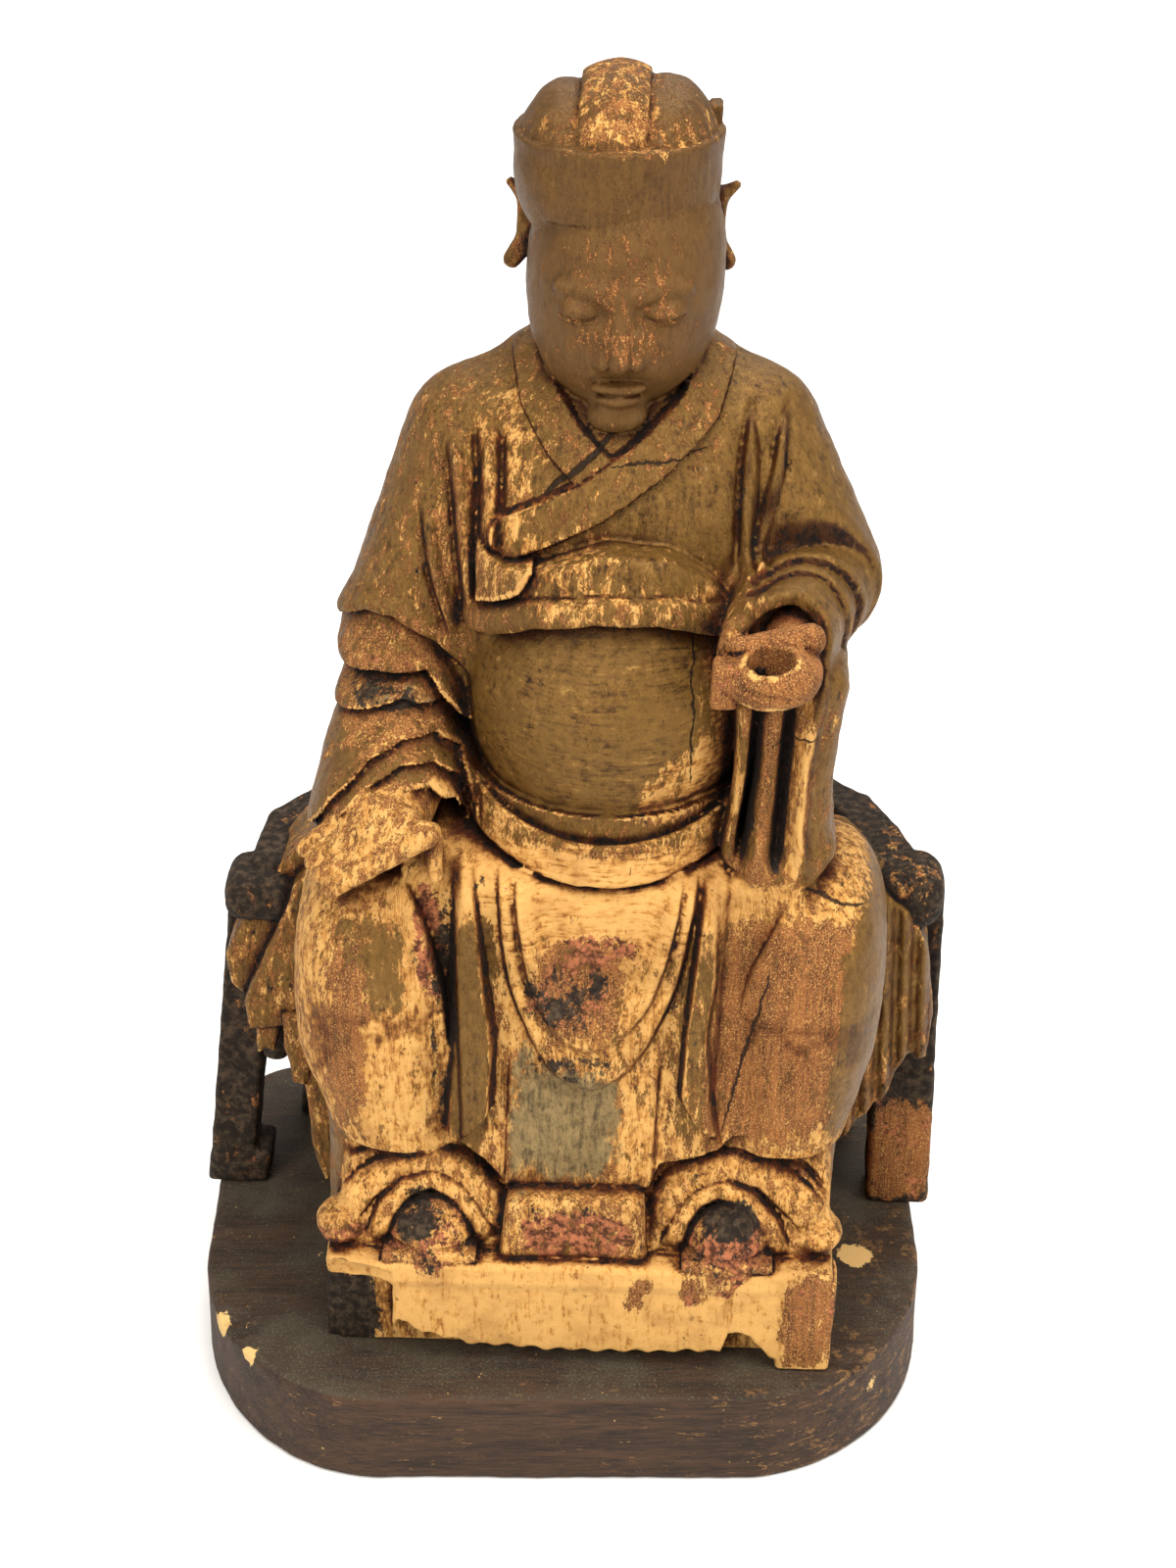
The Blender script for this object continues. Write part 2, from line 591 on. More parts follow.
def fist(p):
    x, y, z = FIST["centre"]
    palm = ball(p, (x, y + 0.4, z - 0.8), (10.2, 9.6, 6.6))
    palm = palm + 0.6 * hill(p[2] - z + 0.2 * (p[0] - x) + 1.4, 0.6) * ease(y - 5, y - 7, p[1])
    wrist = limb(p, (x + 3, y + 5, z), (x + 4, y + 18, z), 6, 7)
    across, deep = FIST["mouth"]
    mouth = (length((p[0] - x + SOCKET_ASIDE) / across, (p[1] - y - SOCKET_AHEAD) / deep) - 1) * deep
    thumb = limb(p, (x + 7, y + 4.4, z + 4.8), (x - 6.5, y + 1.4, z + 4.4), 3.4, 2.3)
    stub = slab(p, (x - 9, y - 1, z - 2.2), (2.8, 3.4, 4.8), 1.4)
    hand = smallest(join(palm, wrist, 1.5), thumb, stub)
    return cut(hand, np.maximum(mouth, z - 4.5 - p[2]), 0.5)


def resting_hand(p):
    back = limb(p, (-38, -11, 136), (-43.5, -29, 125.5), 9, 8.8)
    fingers = None
    for i in range(4):
        knuckle = (-34.5 - 4.0 * i, -38.5 + 3.2 * i, 128.6 + 0.9 * i)
        tip = (-53.4 - 2.3 * i, -40.5 + 3.6 * i, 116.4 + 1.0 * i)
        finger = limb(p, knuckle, tip, 3.1, 2.2)
        fingers = finger if fingers is None else join(fingers, finger, 1.5)
    drop = limb(p, (-33.5, -35, 127), (-31.8, -38.8, 118.5), 2.3, 1.3)
    return join(join(back, fingers, 2.4), drop, 0.6)


print("lips on the right sleeve:", len(SLEEVE_LIPS + list(CUFF_LIPS)), "on the left:", len(ARM_LIPS))


# %% [markdown]
# ## Head and cap
#
# The face is a plain calm one on ordinary proportions: the brow, the base of the nose and the chin stand
# at thirds, the eyes at half the head's height. It is symmetrical, so half of it is made and mirrored by
# taking the distance from the middle line.

# %% Head and cap
HEAD = {"x": 0.5, "y": 3.0, "z": 232.0, "nod": math.radians(4)}
EAR_MIDDLE = -1.0
CAP = {"x": -1.6, "y": 4.0, "low": 250.0, "top": 265.0}


def nodded(p, centre, angle):
    y, z = p[1] - centre[1], p[2] - centre[2]
    c, s = math.cos(angle), math.sin(angle)
    return (p[0], centre[1] + c * y + s * z, centre[2] - s * y + c * z)


def head(p):
    p = nodded(p, (HEAD["x"], HEAD["y"], HEAD["z"] - 12), HEAD["nod"])
    side = np.abs(p[0] - HEAD["x"])
    q = (side, p[1], p[2])
    skull = ball(q, (0, 4.5, 240), (19.6, 20, 25))
    jaw = ball(q, (0, -0.5, 228.5), (17.6, 16.8, 19))
    d = join(skull, jaw, 7)
    d = cut(d, ball(q, (7.9, -20, 235.6), (6.4, 5, 3.6)), 3)
    eye = ball(q, (8, -13, 235.2), (4.7, 4, 3.1))
    lid_line = 234.1 + 0.035 * (side - 8) ** 2
    eye = eye + 0.7 * hill(p[2] - lid_line, 0.4) * ease(4.6, 3.6, np.abs(side - 8))
    d = join(d, eye, 0.7)
    bridge = limb(q, (0, -15.6, 238), (0, -19.6, 226.6), 1.8, 2.1)
    wing = ball(q, (2.9, -17, 225.7), (1.9, 2.3, 1.7))
    nostril = ball(q, (1.7, -18.6, 224.3), (0.8, 1.2, 0.8))
    d = join(d, join(bridge, wing, 1), 2)
    d = cut(d, nostril, 0.4)
    d = join(d, limb(q, (2.5, -16.6, 239.4), (12.5, -12.6, 239.8), 1.2, 0.8), 2.5)
    d = cut(d, ball(q, (0, -19.6, 218.8), (7.5, 3, 4)), 2.5)
    upper_lip = ball(q, (0, -15.9, 220), (5.6, 2.6, 1.4))
    lower_lip = ball(q, (0, -15.8, 217.5), (4.6, 2.7, 1.5))
    d = join(d, np.minimum(upper_lip, lower_lip), 0.5)
    d = join(d, ball(q, (0, -12.6, 212.6), (6, 4.2, 3.8)), 3)
    neck = limb(p, (0, 5, 198), (HEAD["x"], 5, 222), 15.5, 13)
    return join(d, neck, 2)


def ears(p):
    q = (np.abs(p[0] - EAR_MIDDLE), p[1], p[2])
    upper = limb(q, (17.5, 10, 247.5), (22.4, 9.6, 251.6), 2.6, 0.9)
    lower = limb(q, (17.5, 9, 241.5), (21.5, 8.6, 236.2), 2.6, 2)
    rim = slab(q, (19, 9.8, 244), (1.9, 1.8, 7), 1)
    return np.maximum(join(join(upper, lower, 1), rim, 1), np.abs(p[1] - 9.4) - 2.4)


def cap(p):
    z = p[2]
    x, y = p[0] - CAP["x"] + 0.04 * (z - CAP["low"]), p[1] - CAP["y"]
    middle_z, half_z = (CAP["low"] + CAP["top"]) / 2, (CAP["top"] - CAP["low"]) / 2
    spread = mix(0.965, 1.02, (z - CAP["low"]) / (CAP["top"] - CAP["low"]))
    band = common((length(x / 20.4, y / 19.6) - spread) * 20, np.abs(z - middle_z) - half_z, 0.8)
    sides = np.minimum(
        ball(p, (-12.4, CAP["y"] + 0.5, 258), (10.2, 16.6, 15.6)),
        ball(p, (6.6, CAP["y"] + 0.5, 258), (11.4, 16.6, 16.6)),
    )
    panel = common(ball(p, (-2.8, CAP["y"], 258), (15, 17.8, 19.6)), np.abs(p[0] + 3.2) - 6.7, 0.5)
    stub = slab(p, (16.4, 9, 264), (1.5, 3, 4.6), 0.8)
    return smallest(band, sides, panel, stub)


print("the cap's band is", CAP["top"] - CAP["low"], "mm high")


# %% [markdown]
# ## The chair and the cloth over its arms
#
# A horseshoe rail follows one line round the back, on four legs that splay and end in hoofs turned
# inwards. The robe spills over its arms: stepped lobes on one side, plain pleats on the other.

# %% The chair and the cloth over its arms
RAIL = [
    (-73, 8), (-71.5, 26), (-60, 41), (-30, 48), (0, 49), (30, 48), (48, 43), (59, 32), (65, 19), (68, 8),
]
ARM_ENDS = [
    {"centre": (-74.8, 5, 88), "half": (8.4, 9, 5.6), "round": 4.5},
    {"centre": (70.6, 5, 91), "half": (8.4, 9, 7), "round": 5.5},
]
CHAIR_LEGS = [
    {"top": -77.6, "foot": -85.0, "y": 14, "inward": 1, "block": 9},
    {"top": 74.6, "foot": 79.4, "y": 13, "inward": -1, "block": 39},
    {"top": -60.0, "foot": -66.0, "y": 42, "inward": 1, "block": 9},
    {"top": 58.0, "foot": 63.0, "y": 42, "inward": -1, "block": 9},
]
RIGHT_SHEETS = [
    {"outline": [(-56, 108), (-67, 100), (-75.7, 88), (-81, 78.5), (-83.3, 72), (-82.3, 65), (-79, 61.8),
                 (-74, 68), (-54, 66)], "front": -1, "back": 20},
    {"outline": [(-50, 108), (-59.5, 102.4), (-66.4, 94.6), (-70.3, 82.8), (-75.3, 71.3), (-78.2, 63),
                 (-77, 56.3), (-68.8, 57.3), (-54, 56)], "front": -7, "back": 12},
    {"outline": [(-76.5, 60), (-75.3, 48.9), (-73.4, 50.4), (-71.4, 49.4), (-69, 60)],
     "front": -5.5, "back": 8},
    {"outline": [(-69.4, 62), (-68.4, 52), (-66.7, 43.5), (-63.7, 42.3), (-61, 50), (-54, 62)],
     "front": -9, "back": 8},
    {"outline": [(-66, 48), (-64, 40.8), (-61.6, 22), (-59, 15), (-55, 21), (-50, 48)],
     "front": -8, "back": 10},
]
LEFT_SHEET = [(48, 105), (62, 98), (71, 91), (76.5, 80), (79.8, 60), (79.2, 49.3), (74.2, 51), (70.5, 41),
              (66, 37), (60, 30), (50, 30)]


def chair(p):
    x, y, z = p
    d = trace(x, y, RAIL)[0]
    height = 89.8 + 3.2 * ease(-30, 50, x)
    rail = common(d - 5.4, np.abs(z - height) - 5, 2.4)
    inset = slab(p, (0, 54, 65), (42, 3.4, 17), 1)
    panel = cut(common(d - 3.2, np.abs(z - 64) - 25, 1), inset, 0.6)
    seat = slab(p, (-1, 24, 52), (66, 22, 10), 3)
    out = np.minimum(join(rail, panel, 1.2), seat)
    for each in ARM_ENDS:
        out = np.minimum(out, slab(p, each["centre"], each["half"], each["round"]))
    for each in CHAIR_LEGS:
        middle = mix(each["foot"], each["top"], z / 90)
        q = (x - middle, y, z)
        post = slab(q, (0, each["y"], 43), (5.4, 5.6, 45), 1.2)
        hoof = slab(q, (each["inward"] * 2, each["y"], each["block"] / 2), (7.2, 6.4, each["block"] / 2), 1.6)
        out = np.minimum(out, join(post, hoof, 1.5))
    return out


def sheet(p, outline, front, back):
    x, y, z = p
    inside = outline_distance(x + 0.25 * wavy(p, 9, 7), z + 0.5 * wavy(p, 12, 8), outline)
    half = (back - front) / 2
    return common(inside, np.abs(y - front - half - 0.06 * (z - 70)) - half, 1.6)


def sheets(p):
    x, y, z = p
    ribs = 0.8 * np.cos(1.46 * (x + 0.08 * (z - 70) - 67.6))
    pleated = largest(-12 + 0.45 * (x - 56) - ribs - y, y - 20)
    pleated = common(outline_distance(x, z + 0.5 * wavy(p, 8, 5), LEFT_SHEET), 0.9 * pleated, 1.2)
    shoulder = limb(p, (50, 2, 97), (66, 8, 90), 8, 6.4)
    return smallest(*(sheet(p, **each) for each in RIGHT_SHEETS), pleated, shoulder)


def core(p):
    return slab(p, (1, 2, 40), (56.5, 40, 46), 8)


print("chair legs:", len(CHAIR_LEGS), "and sheets of cloth:", len(RIGHT_SHEETS) + 1)


# %% [markdown]
# ## The whole block
#
# The masses are joined in the order a carver would find them. A last fraction of a millimetre of wobble
# keeps any face from being as true as a machine's.

# %% The whole block
def figure(p):
    d = join(trunk(p), np.minimum(right_arm(p), left_arm(p)), 4) - collar(p) - body_folds(p)
    d = join(join(d, belly(p), 1.5), belt(p), 0.5)
    d = join(d, sash(p), 0.6)
    d = join(d, left_sleeve(p), 1.5)
    d = join(d, fist(p), 0.5)
    d = join(d, core(p), 4)
    d = join(d, legs(p), 3)
    d = join(d, lap(p), 0.6)
    d = join(d, resting_hand(p), 0.6)
    d = join(d, head(p), 0.6)
    d = smallest(d, ears(p), cap(p))
    d = join(d, np.minimum(chair(p), sheets(p)), 0.8)
    d = join(d, skirt(p), 0.5)
    d = smallest(d, stool(p), shoes(p))
    d = d + 0.16 * wavy(p, 9, 2) + 0.07 * wavy(p, 3.7, 4)
    return np.maximum(d, RESTING_GAP - p[2])


print("the block stands", RESTING_GAP, "mm clear of the board")


# %% [markdown]
# ## The plinth board
#
# A plain board with two broad round corners in front and two small ones behind. Its edges are rubbed
# round, its sides wander a little from the straight, and a few chips are gone from the upper edge.

# %% The plinth board
PLINTH_CORNERS = [
    {"end": "front", "across": 45.0, "deep": 55.0},
    {"end": "back", "across": 20.0, "deep": 18.0},
]
CHIPS = [
    {"x": -77, "y": -40, "size": 5.0}, {"x": -84, "y": -8, "size": 3.4}, {"x": 66, "y": -52, "size": 4.2},
    {"x": 80, "y": -33, "size": 3.0}, {"x": 85, "y": 18, "size": 4.0}, {"x": -85, "y": 33, "size": 4.0},
    {"x": 20, "y": 62, "size": 3.6}, {"x": -30, "y": -66, "size": 2.6},
]


def plinth(p):
    x, y, z = p
    side = PLINTH_HALF_WIDTH - 0.3 - np.abs(x)
    outline = -side
    for corner in PLINTH_CORNERS:
        edge = y - PLINTH_FRONT - 0.3 if corner["end"] == "front" else PLINTH_BACK - 0.3 - y
        u = np.maximum(1 - side / corner["across"], 0)
        v = np.maximum(1 - edge / corner["deep"], 0)
        rounded = (length(u, v) - 1) * min(corner["across"], corner["deep"])
        outline = largest(outline, -edge, rounded)
    outline = outline + 0.25 * (1 + wavy(p, 42, 6)) + 0.1 * (1 + wavy((x, y, 0.3 * z), 7, 2))
    top = z - PLINTH_HEIGHT + 0.1 * (1 + wavy(p, 30, 9))
    d = common(common(outline, top, 1.8), -z, 1.4)
    for chip in CHIPS:
        size = chip["size"]
        bite = ball(p, (chip["x"], chip["y"], PLINTH_HEIGHT + 0.6), (1.5 * size, 1.2 * size, 0.5 * size))
        d = cut(d, bite + 0.5 * wavy(p, 5, chip["x"]), 0.4)
    return d


print("the board is", 2 * PLINTH_HALF_WIDTH, "mm wide, with", len(CHIPS), "chips")


# %% [markdown]
# ## From field to surface
#
# The field is sampled on a grid, but only in blocks near the surface. Every grid cell that the surface
# crosses gets one vertex, and every grid edge that it crosses gets one four-sided face (this is called
# surface nets). The mesh is then thinned, which leaves small faces where the carving is fine, and its
# vertices are settled back onto the field.

# %% From field to surface
CHUNK = 60000
BLOCK = 4


def evaluate(field, points):
    out = np.empty(len(points), F)
    for i in range(0, len(points), CHUNK):
        part = points[i:i + CHUNK].astype(F)
        out[i:i + CHUNK] = field((part[:, 0], part[:, 1], part[:, 2]))
    return out


def sample(field, low, high, cell):
    count = [BLOCK * math.ceil((high[i] - low[i]) / cell / BLOCK) for i in range(3)]
    blocks = [n // BLOCK for n in count]
    corner = np.stack(np.meshgrid(*(np.arange(n) for n in blocks), indexing="ij"), -1).reshape(-1, 3)
    middle = np.array(low) + (corner * BLOCK + (BLOCK - 1) / 2) * cell
    coarse = evaluate(field, middle)
    near = np.abs(coarse) < 1.5 * math.sqrt(3) * BLOCK / 2 * cell
    values = np.repeat(np.repeat(np.repeat(coarse.reshape(blocks), BLOCK, 0), BLOCK, 1), BLOCK, 2)
    inner = np.stack(np.meshgrid(*[np.arange(BLOCK)] * 3, indexing="ij"), -1).reshape(-1, 3)
    index = (corner[near][:, None] * BLOCK + inner[None]).reshape(-1, 3)
    fine = evaluate(field, np.array(low) + index * cell)
    values[tuple(index.T)] = fine
    print("grid", count, "with", len(index), "points near the surface")
    return values


def surface_nets(values, low, cell):
    inside = values < 0
    n = np.array(values.shape) - 1
    corners = [(i, j, k) for i in (0, 1) for j in (0, 1) for k in (0, 1)]
    total = sum(inside[i:n[0] + i, j:n[1] + j, k:n[2] + k].astype(np.int8) for i, j, k in corners)
    cells = np.argwhere((total > 0) & (total < 8))
    number = np.full(n, -1, np.int32)
    number[tuple(cells.T)] = np.arange(len(cells))
    place = np.zeros((len(cells), 3))
    hits = np.zeros(len(cells))
    for a in corners:
        for axis in range(3):
            if a[axis]:
                continue
            b = list(a)
            b[axis] = 1
            va = values[tuple((cells + a).T)]
            vb = values[tuple((cells + b).T)]
            crossed = (va < 0) != (vb < 0)
            t = np.where(crossed, va / np.where(crossed, va - vb, 1), 0)
            point = np.array(a, float) + np.zeros((len(cells), 3))
            point[:, axis] += t
            place += point * crossed[:, None]
            hits += crossed
    vertices = np.array(low) + (cells + place / hits[:, None]) * cell
    faces = []
    for axis in range(3):
        u, v = (axis + 1) % 3, (axis + 2) % 3
        step = np.eye(3, dtype=int)
        first = [slice(1, -1)] * 3
        first[axis] = slice(0, -1)
        second = list(first)
        second[axis] = slice(1, None)
        a, b = inside[tuple(first)], inside[tuple(second)]
        at = np.argwhere(a != b) + 1 - step[axis]
        ring = [at - step[u] - step[v], at - step[v], at, at - step[u]]
        quad = np.stack([number[tuple(c.T)] for c in ring], 1)
        leaving = inside[tuple(at.T)]
        faces.append(np.where(leaving[:, None], quad, quad[:, ::-1]))
    return vertices, np.concatenate(faces)


def gradient(field, points, step):
    offsets = np.eye(3) * step
    parts = [evaluate(field, points + e) - evaluate(field, points - e) for e in offsets]
    return np.stack(parts, 1) / (2 * step)


def settle(field, points, rounds=2, reach=0.5):
    """Moves points onto the field's zero, by no more than reach each round"""
    for _ in range(rounds):
        slope = gradient(field, points, 0.15)
        size = np.maximum((slope * slope).sum(1), 0.2)
        move = -(evaluate(field, points) / size)[:, None] * slope
        far = np.maximum(np.linalg.norm(move, axis=1) / reach, 1)
        points = points + move / far[:, None]
    return points


def new_object(name, data):
    made = bpy.data.objects.new(name, data)
    bpy.context.collection.objects.link(made)
    return made


def thinned(vertices, faces, triangles):
    """The mesh with about that many triangles left, through Blender's own Decimate modifier"""
    mesh = bpy.data.meshes.new("rough")
    mesh.from_pydata(vertices, [], faces.tolist())
    rough = new_object("rough", mesh)
    modifier = rough.modifiers.new("thin", "DECIMATE")
    modifier.ratio = min(1, triangles / (2 * len(faces)))
    seen = rough.evaluated_get(bpy.context.evaluated_depsgraph_get()).to_mesh()
    points = np.empty(len(seen.vertices) * 3)
    seen.vertices.foreach_get("co", points)
    seen.calc_loop_triangles()
    index = np.empty(len(seen.loop_triangles) * 3, np.int32)
    seen.loop_triangles.foreach_get("vertices", index)
    bpy.data.objects.remove(rough)
    return points.reshape(-1, 3), index.reshape(-1, 3)


def outer_shell(vertices, faces):
    """Only the largest connected surface: a pocket sealed inside the wood is dropped"""
    label = np.arange(len(vertices))
    while True:
        low = label[faces].min(1)
        before = label.copy()
        np.minimum.at(label, faces.ravel(), np.repeat(low, faces.shape[1]))
        label = label[label]
        if np.array_equal(before, label):
            break
    owner = label[faces[:, 0]]
    kept = faces[owner == np.bincount(owner).argmax()]
    used = np.unique(kept)
    number = np.full(len(vertices), -1)
    number[used] = np.arange(len(used))
    return vertices[used], number[kept]


print("cells of", CELL, "mm, in blocks of", BLOCK)


# %% [markdown]
# ## Marks on the surface
#
# The finish depends on where a point lies, so the mesh carries a few numbers at every vertex. Two come
# from the field: how deep in a hollow the point sits, and how sharp an edge it is on. The others say how
# much of each old coat is left there and how it was worked. `on` tells which mass of the carving a point
# belongs to, and `patch` is a soft rounded oblong on the front, placed by hand.

# %% Marks on the surface
HOLLOW_REACH = (1.0, 2.5, 6.0)
EDGE_REACH = 1.1
COATS = ("gilt", "gesso", "lacquer", "paint", "pale")


def hollow(field, points, normals, steepness):
    """0 on an open surface, towards 1 the more wood stands close in front of it"""
    shut = 0
    for reach in HOLLOW_REACH:
        free = evaluate(field, points + reach * normals) / (reach * steepness)
        shut = shut + (1 - np.clip(free, 0, 1)) / len(HOLLOW_REACH)
    return shut


def sharpness(field, points, normals, steepness):
    """0 on a flat or hollow surface, towards 1 on the crest of an edge"""
    under = -evaluate(field, points - EDGE_REACH * normals) / (EDGE_REACH * steepness)
    return np.clip(1 - under, 0, 1)


def on(mass, points, reach=0.7):
    return ease(reach, 0.4 * reach, np.abs(evaluate(mass, points)))


def patch(points, x, z, half_x, half_z, slant=0.0):
    """A rounded oblong on the front, with a soft edge"""
    across = (points[:, 0] - x - slant * (points[:, 2] - z)) / half_x
    up = (points[:, 2] - z) / half_z
    far = (np.abs(across) ** 3 + np.abs(up) ** 3) ** (1 / 3)
    return ease(1.3, 0.7, far) * ease(28, 8, points[:, 1])


print("marks for the coats:", COATS)


# %% [markdown]
# ### The coats, mass by mass
#
# `ON_MASS` says how much of every coat is left on one mass. The smooth parts that no hand rubs keep their
# gilding, the knees and the hands are rubbed to the gesso or the wood, and the chair was painted dark.
#
# `PATCHES` then adds some of a coat, or takes some away, at single places: an amount, the middle across and
# up, the two half sizes, and for a few of them a slant. `UNDER_SEAT` gives the share of gilt and of gesso
# that is left under the seat behind, and the dark paint that is added there.

# %% How much of each coat is left
WORN = {"gilt": 0.63, "gesso": 0.34, "lacquer": 0.05, "paint": 0.05, "pale": 0.0}
ON_MASS = [
    (head, {"gilt": 0.80, "gesso": 0.10, "lacquer": 0.10, "paint": 0.02}),
    (cap, {"gilt": 0.84, "gesso": 0.45, "lacquer": 0.05, "paint": 0.04}),
    (ears, {"gilt": 0.55, "gesso": 0.2, "paint": 0.1}),
    (belly, {"gilt": 0.99, "gesso": 0.7, "paint": 0.0, "lacquer": 0.0}),
    (belt, {"gilt": 0.46, "gesso": 0.6}),
    (lap, {"gilt": 0.26, "gesso": 0.56, "lacquer": 0.08, "paint": 0.08}),
    (legs, {"gilt": 0.2, "gesso": 0.64, "paint": 0.02}),
    (fist, {"gilt": 0.24, "gesso": 0.08, "lacquer": 0.0, "paint": 0.06}),
    (resting_hand, {"gilt": 0.14, "gesso": 0.54, "paint": 0.04}),
    (skirt, {"gilt": 0.24, "gesso": 0.66, "lacquer": 0.08, "paint": 0.1}),
    (stool, {"gilt": 0.02, "gesso": 0.97, "lacquer": 0.04, "paint": 0.02}),
    (shoes, {"gilt": 0.1, "gesso": 0.4, "lacquer": 0.45, "paint": 0.3}),
    (sheets, {"gilt": 0.5, "gesso": 0.42, "lacquer": 0.12, "paint": 0.2}),
    (chair, {"gilt": 0.05, "gesso": 0.14, "lacquer": 0.3, "paint": 0.84}),
]
PATCHES = {
    "gilt": [
        (-0.4, -2.5, 273, 8, 7), (-0.3, 2, 267, 20, 2.5), (0.2, 0, 257, 24, 6), (-0.2, 1, 236, 10, 13),
        (0.4, 38, 204, 15, 24), (0.3, 14, 190, 14, 9), (-0.16, -21, 199, 6, 12), (0.35, 51, 180, 8, 26),
        (-0.2, -30, 182, 6, 20), (-0.7, 19, 138, 9, 8, 0.3), (-0.45, 24, 156, 4, 16), (-0.55, 0, 116, 34, 8),
        (0.7, -23.5, 84, 4, 32), (0.75, 59, 84, 5, 28, 0.04), (0.5, -42, 97, 4, 10), (0.4, -48, 104, 4, 5),
        (0.35, 24, 82, 3.4, 26), (-0.3, -44, 152, 12, 12), (0.2, 70, 80, 9, 26), (-0.15, 0, 182, 26, 8),
        (-0.25, 40, 166, 16, 14), (-0.5, 42, 138, 1.9, 22), (-0.3, 35.3, 138, 1.6, 22),
    ],
    "gesso": [
        (0.4, 0, 114, 32, 9), (-0.55, 43, 84, 14, 29, 0.1), (0.3, 43, 112, 14, 4), (-0.4, -50, 80, 5, 24),
        (0.25, -40, 80, 7, 26), (0.35, 20, 142, 12, 12), (-0.8, 53.5, 14, 6, 14),
        (-0.75, 15.3, 20.3, 2.6, 4.6, 0.2), (-0.65, 27.7, 22, 3.4, 4.6), (0.55, -26.5, 33, 4, 5),
        (0.35, 14, 56, 4, 12), (0.3, -22, 199, 8, 14), (0.25, -12, 98, 5, 18), (0.25, 13, 98, 5, 18),
        (0.35, 69, 80, 9, 26), (0.25, 0, 182, 26, 8), (-0.5, -2, 94, 10, 10), (0.3, 42, 138, 1.9, 22),
    ],
    "lacquer": [
        (0.55, 2.5, 102.5, 8, 3.6), (0.35, -4, 93, 9, 8), (0.7, 1, 34, 13, 6), (0.25, -46, 160, 6, 10),
        (0.6, -33, 102, 3, 13, -0.1), (0.3, 27.7, 22, 3, 4), (0.35, 54, 20, 5, 7), (0.4, 25, 169, 2.5, 3.5),
        (0.5, -50, 31, 6, 3), (0.3, -83, 20, 4, 3), (0.4, -79, 9, 4, 3), (0.45, 35, 33, 6, 3),
    ],
    "paint": [
        (-0.2, 70, 80, 9, 26), (0.6, 38.4, 140, 1.3, 22), (0.45, 32.2, 142, 1.1, 20), (0.42, -4, 92, 9, 7),
        (0.4, -30, 84, 2.4, 28), (0.95, -49.5, 9, 6.5, 11), (0.35, -3, 75, 10, 3), (0.4, -35, 37, 4, 5),
        (0.5, 35, 38, 6, 3), (0.45, -46, 149.5, 7, 3), (-0.8, 77, 15, 8, 14), (0.25, 0, 40, 14, 2),
    ],
    "pale": [(1.0, -1, 60, 10, 14), (0.6, -12, 62, 3, 18), (0.3, -40, 150, 10, 3)],
}
UNDER_SEAT = {"gilt": 0.15, "gesso": 0.4, "paint": 0.45}


def in_socket(points):
    """1 inside the raised fist's socket, which touch and the brush never reached"""
    x, y, z = FIST["centre"]
    across, deep = FIST["mouth"]
    middle_y = y + SOCKET_AHEAD
    from_middle = length((points[:, 0] - x + SOCKET_ASIDE) / across, (points[:, 1] - middle_y) / deep)
    height = points[:, 2] - z
    return ease(1.05, 0.85, from_middle) * ease(2.4, 1.2, height) * ease(-7, -5, height)


def coats_left(points):
    """How much of every coat is left at each point, from 0 to 1"""
    left = {coat: np.full(len(points), WORN[coat]) for coat in COATS}
    for mass, amounts in ON_MASS:
        here = on(mass, points)
        for coat, amount in amounts.items():
            left[coat] = mix(left[coat], amount, here)
    for coat, patches in PATCHES.items():
        for amount, *place in patches:
            left[coat] = left[coat] + amount * patch(points, *place)
    under_seat = ease(8, 20, points[:, 1]) * ease(70, 62, points[:, 2])
    for coat in ("gilt", "gesso"):
        left[coat] = left[coat] * mix(1, UNDER_SEAT[coat], under_seat)
    left["paint"] = left["paint"] + in_socket(points) + UNDER_SEAT["paint"] * under_seat
    return {coat: np.clip(values, 0, 1) for coat, values in left.items()}


def strokes_level(points):
    """1 where the brush went from side to side: over the belly, the belt and the top of the lap"""
    over_lap = patch(points, 0, 110, 34, 12)
    return np.maximum(np.maximum(on(belly, points), on(belt, points)), over_lap)


CRUMBS = [((69, -16, 24), 4.5), ((-79, -38, 22), 3.6), ((-71, -50, 23), 2.4), ((72, -52, 15), 3.2)]


def crumbs(points):
    """The places on the board where crumbs of gesso still stick, in millimetres from the frame's origin"""
    out = np.zeros(len(points))
    for centre, reach in CRUMBS:
        out = np.maximum(out, ease(1.3 * reach, 0.5 * reach, np.linalg.norm(points - centre, axis=1)))
    return out


def whole(points):
    """1 where the gesso is thick and smooth: the stool's apron and the top of the lap"""
    return np.maximum(on(stool, points), 0.7 * patch(points, 0, 113, 30, 7))


def handled(points):
    """1 on the head and the cap, where touch has browned the gold and wiped the grime off"""
    return np.maximum(on(head, points), on(cap, points))


print("patches:", {coat: len(patches) for coat, patches in PATCHES.items()})


# %% [markdown]
# ## Carving the block
#
# `carve` runs the whole chain for one field and makes the Blender object. Each vertex gets the field's own
# slope as its normal, so a thinned mesh still shades like the carving. The mesh is kept inside the
# frame's box, which the field may miss by a tenth of a millimetre.

# %% Carving a block
def store(mesh, name, values):
    mesh.attributes.new(name, "FLOAT", "POINT").data.foreach_set("value", values.astype(F))


def kept_inside(points, node, margin=0.00005):
    low, high = (np.array(corner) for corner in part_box(node))
    return np.clip(points, low + margin, high - margin)


